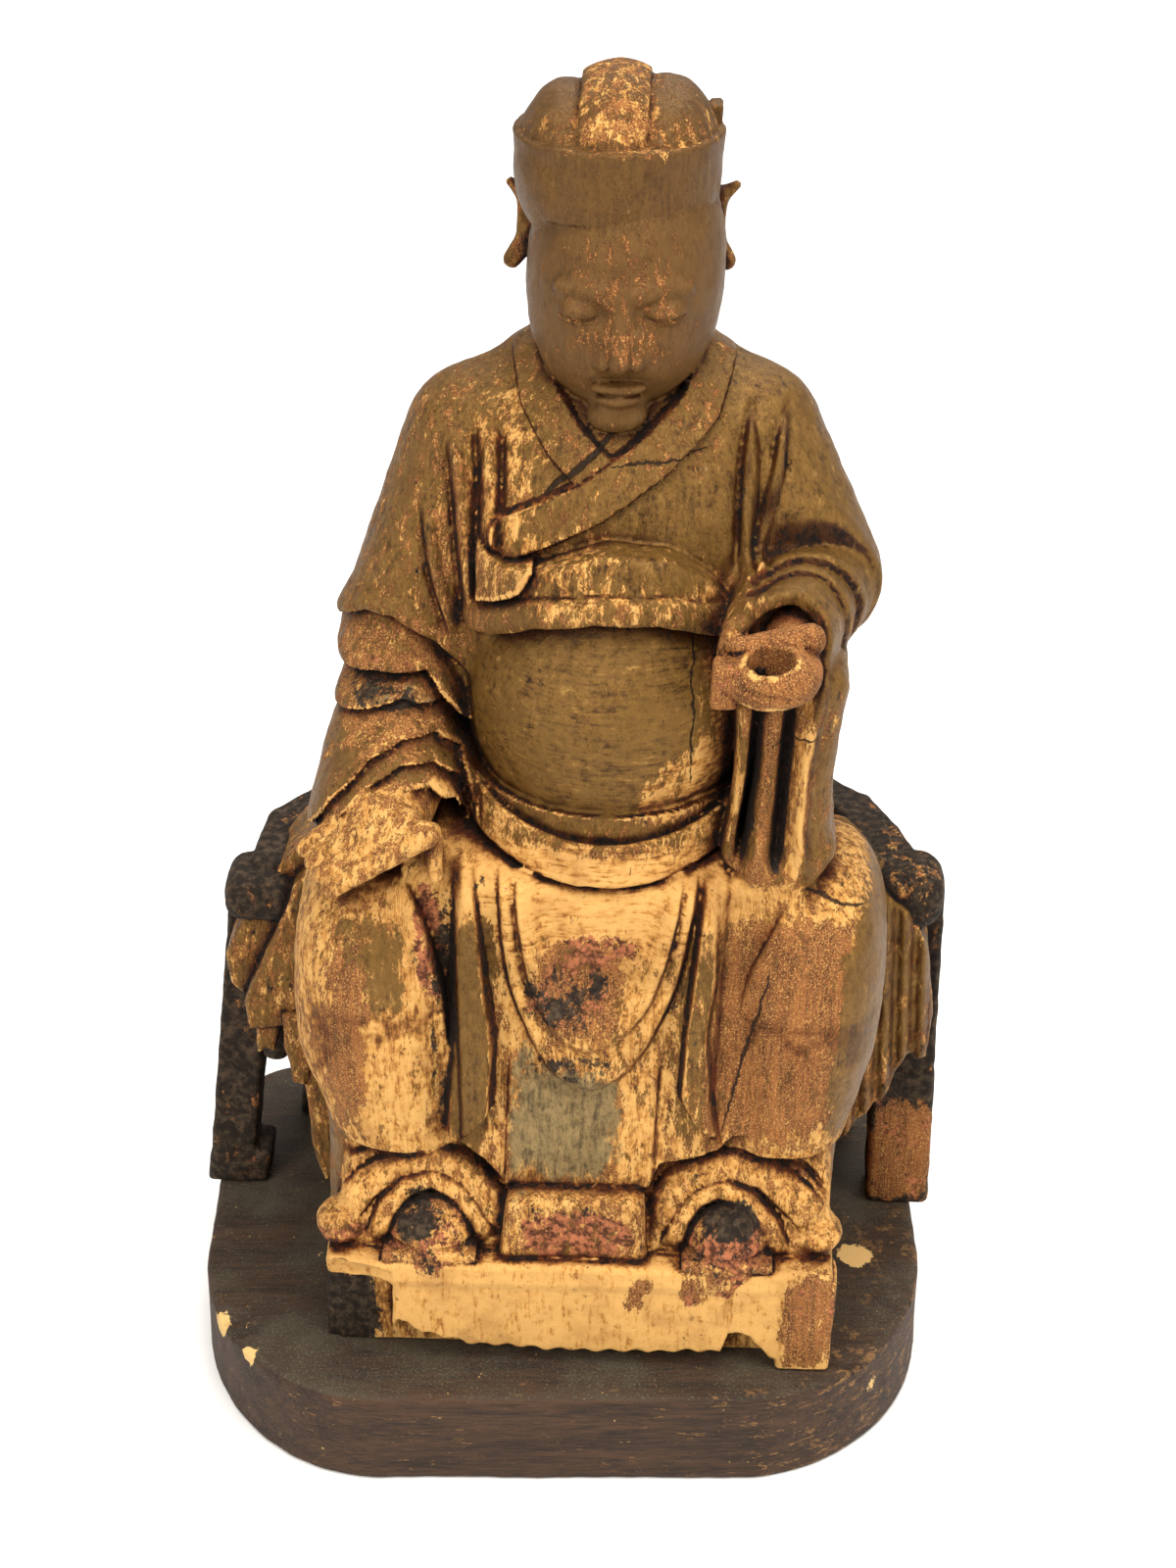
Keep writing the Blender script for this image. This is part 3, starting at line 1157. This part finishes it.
def carve(name, field, low, high, cell, triangles, place, node):
    values = sample(field, low, high, cell)
    vertices, faces = outer_shell(*surface_nets(values, low, cell))
    vertices, faces = thinned(vertices, faces, triangles)
    vertices = settle(field, vertices)
    slope = gradient(field, vertices, 0.12)
    steepness = np.maximum(np.linalg.norm(slope, axis=1), 0.3)
    normals = slope / steepness[:, None]
    world = kept_inside(place(vertices), node)
    turned = place(vertices + normals) - place(vertices)
    turned = turned / np.linalg.norm(turned, axis=1, keepdims=True)
    mesh = bpy.data.meshes.new(name)
    mesh.from_pydata(world, [], faces.tolist())
    mesh.shade_smooth()
    mesh.normals_split_custom_set_from_vertices(turned)
    carved = new_object(name, mesh)
    store(mesh, "hollow", hollow(field, vertices, normals, steepness))
    store(mesh, "edge", sharpness(field, vertices, normals, steepness))
    print(name, "has", len(vertices), "vertices and", len(faces), "triangles")
    return carved, vertices


# %% The figure and its marks
deity, block_points = carve(
    "seated_deity", figure, BLOCK_LOW, BLOCK_HIGH, CELL, TRIANGLES, to_world, "seated_figure",
)
for coat, values in coats_left(block_points).items():
    store(deity.data, coat, values)
    print(coat, "covers on average", round(float(values.mean()), 2))
store(deity.data, "level", strokes_level(block_points))
store(deity.data, "handled", handled(block_points))
store(deity.data, "whole", whole(block_points))
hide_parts("seated_figure")
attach(deity, "root")

# %% The board and its marks
BOARD_CELL = 1.1
BOARD_LOW, BOARD_HIGH = (-88.0, -69.0, -2.0), (88.0, 65.0, 27.0)
BOARD_TRIANGLES = 60000


def to_metres(points):
    return 0.001 * points


board, board_points = carve(
    "plinth", plinth, BOARD_LOW, BOARD_HIGH, BOARD_CELL, BOARD_TRIANGLES, to_metres, "plinth_board",
)
store(board.data, "crumbs", crumbs(board_points))
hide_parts("plinth_board")
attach(board, "root")


# %% [markdown]
# ## Tools for materials
#
# A node group is made once and used in each material with its own values. `add` makes one node and links
# or sets its inputs, and the small helpers name the sums that the groups need most.

# %% Tools for materials
def give(tree, inputs, values):
    """Links a socket to each named input, or sets the input to a plain value"""
    for name, value in values.items():
        if isinstance(value, bpy.types.NodeSocket):
            tree.links.new(value, inputs[name])
        else:
            inputs[name].default_value = value


def add(tree, kind, inputs=(), **settings):
    made = tree.nodes.new("ShaderNode" + kind)
    for name, value in settings.items():
        setattr(made, name, value)
    give(tree, made.inputs, dict(inputs))
    return made


def maths(tree, operation, a, b=0.0, clamp=False):
    return add(tree, "Math", {0: a, 1: b}, operation=operation, use_clamp=clamp).outputs[0]


def times(tree, a, b):
    return maths(tree, "MULTIPLY", a, b)


def plus(tree, a, b):
    return maths(tree, "ADD", a, b)


def minus(tree, a, b):
    return maths(tree, "SUBTRACT", a, b)


def weighted(tree, *pairs):
    """The sum of several values, each times its own weight"""
    out = None
    for value, weight in pairs:
        part = times(tree, value, weight)
        out = part if out is None else plus(tree, out, part)
    return out


def vector(tree, operation, a, b=(0.0, 0.0, 0.0)):
    """One operation on vectors, which gives a vector, or a number where it is DOT_PRODUCT or LENGTH"""
    second = "Scale" if operation == "SCALE" else 1
    made = add(tree, "VectorMath", {0: a, second: b}, operation=operation)
    return made.outputs["Value" if operation in ("DOT_PRODUCT", "LENGTH") else "Vector"]


def step_up(tree, value, low, high):
    """A soft step from 0 to 1 as the value goes from low to high"""
    names = {"Value": value, "From Min": low, "From Max": high}
    return add(tree, "MapRange", names, interpolation_type="SMOOTHSTEP").outputs[0]


def blend(tree, factor, a, b, kind="MIX"):
    made = add(tree, "Mix", data_type="RGBA", blend_type=kind, clamp_factor=True)
    first, second = ((*c, 1) if isinstance(c, tuple) else c for c in (a, b))
    give(tree, made.inputs, {0: factor, 6: first, 7: second})
    return made.outputs[2]


def toned(tree, colour, *steps):
    """A colour that turns into the next one wherever a value rises from low to high"""
    for value, low, high, following in steps:
        colour = blend(tree, step_up(tree, value, low, high), colour, following)
    return colour


def speckle(tree, place, scale, detail=6.0, roughness=0.6, distortion=0.0):
    names = {"Vector": place, "Scale": scale, "Detail": detail}
    names |= {"Roughness": roughness, "Distortion": distortion}
    return add(tree, "TexNoise", names).outputs["Fac"]


def new_group(name, inputs, outputs):
    group = bpy.data.node_groups.new(name, "ShaderNodeTree")
    for label, kind, value in inputs:
        socket = group.interface.new_socket(label, in_out="INPUT", socket_type="NodeSocket" + kind)
        if value is not None:
            socket.default_value = value
    for label, kind in outputs:
        group.interface.new_socket(label, in_out="OUTPUT", socket_type="NodeSocket" + kind)
    return group, group.nodes.new("NodeGroupInput").outputs, group.nodes.new("NodeGroupOutput").inputs


def use(tree, group, inputs):
    return add(tree, "Group", inputs, node_tree=group).outputs


# %% [markdown]
# ### A flaking coat
#
# Old coats do not wear evenly: they come off in flakes, large ones and small ones together, longer along
# the grain. The group compares a rough noise with the amount that is left there, so the same edge is
# crisp where the coat has chipped and dense where it is worn to dots.

# %% A flaking coat
FINE_FLAKES, FLAKE_CONTRAST, RIM_WIDTH = 4.5, 4.2, 0.14


def flaking_coat():
    tree, given, result = new_group(
        "Flaking coat",
        [("Place", "Vector", None), ("Amount", "Float", 0.5), ("Flake size", "Float", 3.0),
         ("Along grain", "Float", 1.6), ("Shift", "Float", 0.0), ("Softness", "Float", 0.04)],
        [("Cover", "Float"), ("Rim", "Float")],
    )
    upward = maths(tree, "DIVIDE", 1.0, given["Along grain"])
    squeeze = add(tree, "CombineXYZ", {"X": 1.0, "Y": 1.0, "Z": upward}).outputs[0]
    shifted = vector(tree, "ADD", vector(tree, "MULTIPLY", given["Place"], squeeze), given["Shift"])
    scale = maths(tree, "DIVIDE", 1.0, given["Flake size"])
    broad = speckle(tree, shifted, scale, 7, 0.64, 0.3)
    fine = speckle(tree, shifted, times(tree, scale, FINE_FLAKES), 4, 0.7)
    both = weighted(tree, (broad, 0.62), (fine, 0.38))
    even = plus(tree, times(tree, minus(tree, both, 0.5), FLAKE_CONTRAST), 0.5)
    spread = minus(tree, times(tree, given["Amount"], 1.3), 0.15)
    over = plus(tree, minus(tree, even, 1.0), spread)
    low = times(tree, given["Softness"], -1.0)
    beside = maths(tree, "DIVIDE", maths(tree, "ABSOLUTE", over), RIM_WIDTH)
    rim = maths(tree, "SUBTRACT", 1.0, beside, clamp=True)
    give(tree, result, {"Cover": step_up(tree, over, low, given["Softness"]), "Rim": rim})
    return tree


FLAKING_COAT = flaking_coat()
print("group", FLAKING_COAT.name, "has", len(FLAKING_COAT.nodes), "nodes")

# %% [markdown]
# ### Grain and cracks
#
# The block's grain stands upright, so the grain noise is squeezed across and stretched up. A crack follows
# a straight line between two places on the front, but its path is pushed about by a noise.

# %% Grain and cracks
GRAIN_SQUEEZE = (1.0, 1.0, 0.07)
FLAT = (1.0, 0.0, 1.0)


def wood_grain():
    outputs = [("Tone", "Float"), ("Height", "Float")]
    tree, given, result = new_group("Wood grain", [("Place", "Vector", None)], outputs)
    stretched = vector(tree, "MULTIPLY", given["Place"], GRAIN_SQUEEZE)
    fibres = speckle(tree, stretched, 1.9, 5, 0.7, 0.4)
    bands = speckle(tree, stretched, 0.28, 4, 0.55, 0.8)
    tone = weighted(tree, (fibres, 0.6), (bands, 0.4))
    give(tree, result, {"Tone": step_up(tree, tone, 0.36, 0.64), "Height": fibres})
    return tree


def crack_line():
    tree, given, result = new_group(
        "Crack",
        [("Place", "Vector", None), ("From", "Vector", None), ("To", "Vector", None),
         ("Width", "Float", 0.3), ("Wander", "Float", 1.0)],
        [("Open", "Float")],
    )
    noise = add(tree, "TexNoise", {"Vector": given["Place"], "Scale": 0.3, "Detail": 5.0, "Roughness": 0.7})
    pushed = vector(tree, "SUBTRACT", noise.outputs["Color"], (0.5, 0.5, 0.5))
    pushed = vector(tree, "SCALE", pushed, times(tree, given["Wander"], 4.0))
    bent = vector(tree, "ADD", given["Place"], pushed)
    offset = vector(tree, "MULTIPLY", vector(tree, "SUBTRACT", bent, given["From"]), FLAT)
    run = vector(tree, "MULTIPLY", vector(tree, "SUBTRACT", given["To"], given["From"]), FLAT)
    square = vector(tree, "DOT_PRODUCT", run, run)
    t = maths(tree, "DIVIDE", vector(tree, "DOT_PRODUCT", offset, run), square, clamp=True)
    away = vector(tree, "LENGTH", vector(tree, "SUBTRACT", offset, vector(tree, "SCALE", run, t)))
    ends = times(tree, times(tree, t, minus(tree, 1.0, t)), 4.0)
    width = times(tree, given["Width"], maths(tree, "POWER", ends, 0.35))
    gap = step_up(tree, away, times(tree, width, 1.15), times(tree, width, 0.6))
    front = step_up(tree, add(tree, "SeparateXYZ", {0: given["Place"]}).outputs["Y"], 8.0, 0.0)
    give(tree, result, {"Open": times(tree, gap, front)})
    return tree


WOOD_GRAIN = wood_grain()
CRACK = crack_line()
print("groups", WOOD_GRAIN.name, "and", CRACK.name, "are made")

# %% [markdown]
# ### Worn gilding
#
# The layers go on as they did on the real block: wood, gesso, a little red lacquer, gold that has gone
# olive brown under handling, dark paint on the chair and in the folds, and grime in every hollow. The
# gold thins where the carving has an edge, because that is where it gets rubbed, and the gesso shows.
#
# Most coats share the same values, which `shared_values` makes once: brush strokes that run up and down,
# or from side to side over the belly, and noises of three sizes.

# %% Worn gilding
CRACKS = [
    {"from": (-13, -24, 196), "to": (0.5, -22, 208), "width": 0.7, "wander": 0.3},
    {"from": (0, -22, 203), "to": (19, -20, 204), "width": 0.35, "wander": 1.0},
    {"from": (18.5, -36, 174), "to": (20, -38, 138), "width": 0.25, "wander": 0.7},
    {"from": (39, -42, 99), "to": (31.5, -44, 55), "width": 0.3, "wander": 0.6},
    {"from": (44, -42, 116), "to": (58, -36, 111), "width": 0.3, "wander": 0.5},
    {"from": (35, -30, 151), "to": (44, -30, 153), "width": 0.25, "wander": 0.5},
]
UPRIGHT_STROKES, LEVEL_STROKES = (1.0, 1.0, 0.16), (0.14, 0.5, 1.2)
HANDLED_SHARE = 0.5


def mark(tree, name):
    return add(tree, "Attribute", attribute_name=name, attribute_type="GEOMETRY").outputs["Fac"]


def place_in_millimetres(tree):
    return vector(tree, "SCALE", add(tree, "TexCoord").outputs["Object"], 1000.0)


def coat(tree, place, amount, size, shift, grain=1.6, softness=0.05):
    return use(tree, FLAKING_COAT, {
        "Place": place, "Amount": amount, "Flake size": size, "Shift": shift,
        "Along grain": grain, "Softness": softness,
    })


def new_material(name):
    material = bpy.data.materials.new(name)
    material.use_nodes = True
    tree = material.node_tree
    return material, tree, tree.nodes["Principled BSDF"].inputs


def shared_values(tree, place):
    """The marks and the noises that several coats go by"""
    touched = times(tree, mark(tree, "handled"), HANDLED_SHARE)
    upright = vector(tree, "MULTIPLY", place, UPRIGHT_STROKES)
    level = vector(tree, "MULTIPLY", place, LEVEL_STROKES)
    strokes = speckle(tree, blend(tree, mark(tree, "level"), upright, level), 0.8, 6, 0.72, 0.6)
    middling = speckle(tree, place, 0.55, 5, 0.6)
    uneven = weighted(tree, (strokes, 0.62), (middling, 0.38))
    return {
        "touched": mark(tree, "handled"),
        "untouched": minus(tree, 1.0, touched),
        "edges": mark(tree, "edge"),
        "hollows": times(tree, mark(tree, "hollow"), minus(tree, 1.0, touched)),
        "strokes": strokes,
        "broad": speckle(tree, place, 0.09, 4, 0.6),
        "middling": middling,
        "tiny": speckle(tree, place, 3.2, 4, 0.6),
        "uneven": uneven,
        "grain": use(tree, WOOD_GRAIN, {"Place": place}),
    }


def gesso_tone(tree, v):
    """How fresh the gesso looks: higher along edges and where it is whole, lower in the hollows"""
    rise = times(tree, minus(tree, v["edges"], 0.5), 0.10)
    worked = plus(tree, plus(tree, v["uneven"], rise), times(tree, v["hollows"], -0.22))
    return plus(tree, worked, times(tree, mark(tree, "whole"), 0.055))


def gold_colour(tree, v):
    stroked = times(tree, minus(tree, v["uneven"], 0.46), v["untouched"])
    brown = toned(tree, (0.030, 0.012, 0.003), (stroked, -0.10, 0.08, (0.152, 0.075, 0.016)))
    olive = times(tree, step_up(tree, v["broad"], 0.40, 0.62), 0.6)
    gold = toned(
        tree, blend(tree, olive, brown, (0.180, 0.094, 0.019)),
        (stroked, 0.10, 0.22, (0.36, 0.200, 0.052)), (v["tiny"], 0.57, 0.78, (0.30, 0.165, 0.042)),
    )
    return blend(tree, times(tree, v["touched"], 0.45), gold, (0.085, 0.038, 0.013))


def coat_colours(tree, v):
    worked = gesso_tone(tree, v)
    bare = blend(tree, v["grain"]["Tone"], (0.070, 0.023, 0.008), (0.270, 0.098, 0.027))
    return {
        "wood": toned(tree, bare, (v["tiny"], 0.52, 0.62, (0.47, 0.240, 0.070))),
        "gesso": toned(
            tree, (0.130, 0.044, 0.010), (worked, 0.30, 0.44, (0.44, 0.205, 0.046)),
            (worked, 0.39, 0.50, (0.575, 0.322, 0.098)), (v["tiny"], 0.60, 0.76, (0.25, 0.100, 0.027)),
        ),
        "lacquer": toned(tree, (0.075, 0.024, 0.010), (v["middling"], 0.4, 0.6, (0.38, 0.128, 0.054))),
        "gilt": gold_colour(tree, v),
        "paint": toned(tree, (0.013, 0.008, 0.005), (v["middling"], 0.4, 0.7, (0.066, 0.043, 0.025))),
        "pale": toned(tree, (0.085, 0.058, 0.026), (v["uneven"], 0.38, 0.56, (0.235, 0.160, 0.066))),
    }


def coats_on(tree, place, v):
    """Where each coat is left: gesso shows on the crests, gold is rubbed off them, paint stays in hollows"""
    rubbed = times(tree, step_up(tree, v["edges"], 0.22, 0.75), 0.46)
    crest = times(tree, step_up(tree, v["edges"], 0.3, 0.8), 0.42)
    sunk = times(tree, step_up(tree, v["hollows"], 0.3, 0.75), 0.5)
    return {
        "gesso": coat(tree, place, plus(tree, mark(tree, "gesso"), crest), 1.8, 11.0, 2.6),
        "lacquer": coat(tree, place, mark(tree, "lacquer"), 3.2, 47.0, 1.2),
        "gilt": coat(tree, place, minus(tree, mark(tree, "gilt"), rubbed), 2.1, 83.0, 2.8, 0.16),
        "paint": coat(tree, place, plus(tree, mark(tree, "paint"), sunk), 4.0, 131.0, 1.5, 0.14),
        "pale": coat(tree, place, mark(tree, "pale"), 3.0, 171.0, 2.0, 0.3),
    }


def open_cracks(tree, place):
    out = 0.0
    for each in CRACKS:
        ends = 1000 * to_world(np.array([each["from"], each["to"]]))
        crack = use(tree, CRACK, {
            "Place": place, "From": tuple(ends[0]), "To": tuple(ends[1]),
            "Width": each["width"], "Wander": each["wander"],
        })
        out = maths(tree, "MAXIMUM", out, crack["Open"])
    return out


def worn_gilding():
    material, tree, shader = new_material("worn_gilding_on_gesso")
    place = place_in_millimetres(tree)
    v = shared_values(tree, place)
    colours, coats = coat_colours(tree, v), coats_on(tree, place, v)
    cracked = open_cracks(tree, place)

    colour = colours["wood"]
    for name in ("gesso", "lacquer", "gilt", "pale", "paint"):
        if name == "gilt":
            beside_gold = times(tree, coats["gilt"]["Rim"], 0.55)
            colour = blend(tree, beside_gold, colour, (0.42, 0.24, 0.13), "MULTIPLY")
        colour = blend(tree, coats[name]["Cover"], colour, colours[name])
    grime = times(tree, step_up(tree, v["hollows"], 0.10, 0.62), 0.95)
    stain = times(tree, step_up(tree, v["broad"], 0.48, 0.68), 0.3)
    grime = maths(tree, "ADD", grime, stain, clamp=True)
    colour = blend(tree, grime, colour, (0.28, 0.145, 0.070), "MULTIPLY")
    colour = blend(tree, times(tree, cracked, 0.92), colour, (0.012, 0.006, 0.003))

    shiny = times(tree, coats["gilt"]["Cover"], minus(tree, 1.0, coats["paint"]["Cover"]))
    dull = minus(tree, 0.80, times(tree, shiny, 0.38))
    rough = plus(tree, dull, times(tree, minus(tree, v["tiny"], 0.5), 0.3))
    height = weighted(
        tree, (coats["gesso"]["Cover"], 0.5), (coats["gilt"]["Cover"], 0.35), (coats["paint"]["Cover"], 0.25),
        (v["grain"]["Height"], 0.5), (v["middling"], 0.9), (v["strokes"], 0.7), (v["tiny"], 0.35),
        (cracked, -3.0),
    )
    bump = add(tree, "Bump", {"Strength": 0.8, "Distance": 0.00035, "Height": height}).outputs[0]
    shader["Specular IOR Level"].default_value = 0.2
    metallic = times(tree, shiny, 0.30)
    give(tree, shader, {"Base Color": colour, "Metallic": metallic, "Roughness": rough, "Normal": bump})
    return material


# %% [markdown]
# ### Dark stained board
#
# The plinth is stained nearly black, rubbed to brown along its edges, and grey with dust on top.

# %% Dark stained board
def dark_board():
    material, tree, shader = new_material("dark_stained_board")
    place = place_in_millimetres(tree)
    turned = add(tree, "Mapping", {"Vector": place, "Rotation": (0.0, math.pi / 2, 0.0)}).outputs[0]
    grain = use(tree, WOOD_GRAIN, {"Place": turned})
    broad = speckle(tree, place, 0.05, 5, 0.6)
    tiny = speckle(tree, place, 1.8, 5, 0.65)
    up = add(tree, "SeparateXYZ", {0: add(tree, "NewGeometry").outputs["Normal"]}).outputs["Z"]
    right = step_up(tree, add(tree, "SeparateXYZ", {0: place}).outputs["X"], 10.0, 80.0)

    stained = blend(tree, grain["Tone"], (0.013, 0.007, 0.004), (0.064, 0.030, 0.013))
    bare = blend(tree, grain["Tone"], (0.085, 0.037, 0.013), (0.24, 0.125, 0.040))
    shown = weighted(tree, (mark(tree, "edge"), 0.5), (right, 0.22))
    worn = coat(tree, place, plus(tree, 0.12, shown), 5.0, 23.0, 0.35)
    colour = blend(tree, worn["Cover"], stained, bare)
    dust = toned(
        tree, (0.018, 0.013, 0.008), (broad, 0.35, 0.65, (0.052, 0.040, 0.024)),
        (tiny, 0.50, 0.74, (0.115, 0.098, 0.066)),
    )
    dusty = times(tree, step_up(tree, up, 0.5, 0.95), step_up(tree, plus(tree, broad, tiny), 0.75, 1.15))
    colour = blend(tree, dusty, colour, dust)
    crumb = coat(tree, place, mark(tree, "crumbs"), 3.0, 59.0, 1.0)
    colour = blend(tree, crumb["Cover"], colour, (0.62, 0.40, 0.15))

    rough = plus(tree, 0.55, times(tree, tiny, 0.35))
    height = plus(tree, times(tree, grain["Height"], 0.8), tiny)
    bump = add(tree, "Bump", {"Strength": 0.6, "Distance": 0.0004, "Height": height}).outputs[0]
    shader["Specular IOR Level"].default_value = 0.32
    give(tree, shader, {"Base Color": colour, "Roughness": rough, "Normal": bump})
    return material


# %% The materials on their pieces
deity.data.materials.append(worn_gilding())
board.data.materials.append(dark_board())
print("materials:", [material.name for material in bpy.data.materials])

# %% [markdown]
# ## Floor, light and camera
#
# The photograph was taken from above the figure's eyes, looking 30 degrees down, on a white sweep. A
# large soft light hangs overhead, a smaller key stands to the upper left and a weak fill to the right. One
# more lamp lights the floor behind. The white room fills the rest, and looks whiter to the camera.

# %% Floor, light and camera
FLOOR_RIM = 3.0
PALE = (0.86, 0.86, 0.86, 1)
WARM, CREAM = (1.0, 0.95, 0.87), (1.0, 0.96, 0.90)
LAMPS = [
    {"name": "overhead", "place": (0.10, -0.22, 1.15), "aim": (0, 0, 0.10), "size": 0.8, "watts": 14,
     "colour": CREAM},
    {"name": "key", "place": (-0.50, -0.75, 0.70), "aim": (0, 0, 0.12), "size": 0.5, "watts": 8,
     "colour": WARM},
    {"name": "fill", "place": (0.75, -0.5, 0.5), "aim": (0, 0, 0.13), "size": 0.6, "watts": 4.6,
     "colour": WARM},
    {"name": "sweep", "place": (0.3, 1.2, 1.3), "aim": (0.1, 1.3, 0), "size": 1.0, "watts": 18,
     "colour": (1, 1, 1)},
]
ROOM_STRENGTH, EXTRA_FOR_CAMERA = 0.4, 0.6
CAMERA_PLACE, CAMERA_TILT, FOCAL_LENGTH = (0.006, -0.522, 0.4446), math.radians(60), 63


def floor():
    mesh = bpy.data.meshes.new("floor")
    corners = [(-1, -1), (1, -1), (1, 1), (-1, 1)]
    mesh.from_pydata([(FLOOR_RIM * x, FLOOR_RIM * y, 0) for x, y in corners], [], [(0, 1, 2, 3)])
    material, tree, shader = new_material("pale_floor")
    give(tree, shader, {"Base Color": PALE, "Roughness": 0.9})
    mesh.materials.append(material)
    new_object("floor", mesh)


def lamp(name, place, aim, size, watts, colour):
    light = bpy.data.lights.new(name, "AREA")
    light.shape, light.size, light.energy, light.color = "DISK", size, watts, colour
    made = new_object(name, light)
    made.location = place
    made.rotation_euler = (Vector(aim) - Vector(place)).to_track_quat("-Z", "Y").to_euler()


def camera():
    lens = bpy.data.cameras.new("camera")
    lens.lens, lens.sensor_width, lens.clip_start = FOCAL_LENGTH, 36, 0.01
    made = new_object("camera", lens)
    made.location = CAMERA_PLACE
    made.rotation_euler = (CAMERA_TILT, 0, 0)
    bpy.context.scene.camera = made


def white_room():
    world = bpy.data.worlds.new("white room")
    bpy.context.scene.world = world
    world.use_nodes = True
    tree = world.node_tree
    seen = add(tree, "LightPath").outputs["Is Camera Ray"]
    strength = plus(tree, ROOM_STRENGTH, times(tree, seen, EXTRA_FOR_CAMERA))
    give(tree, tree.nodes["Background"].inputs, {"Color": (1, 1, 1, 1), "Strength": strength})


floor()
for each in LAMPS:
    lamp(**each)
white_room()
bpy.context.scene.view_settings.view_transform = "Standard"
camera()
print("lamps:", [each["name"] for each in LAMPS])
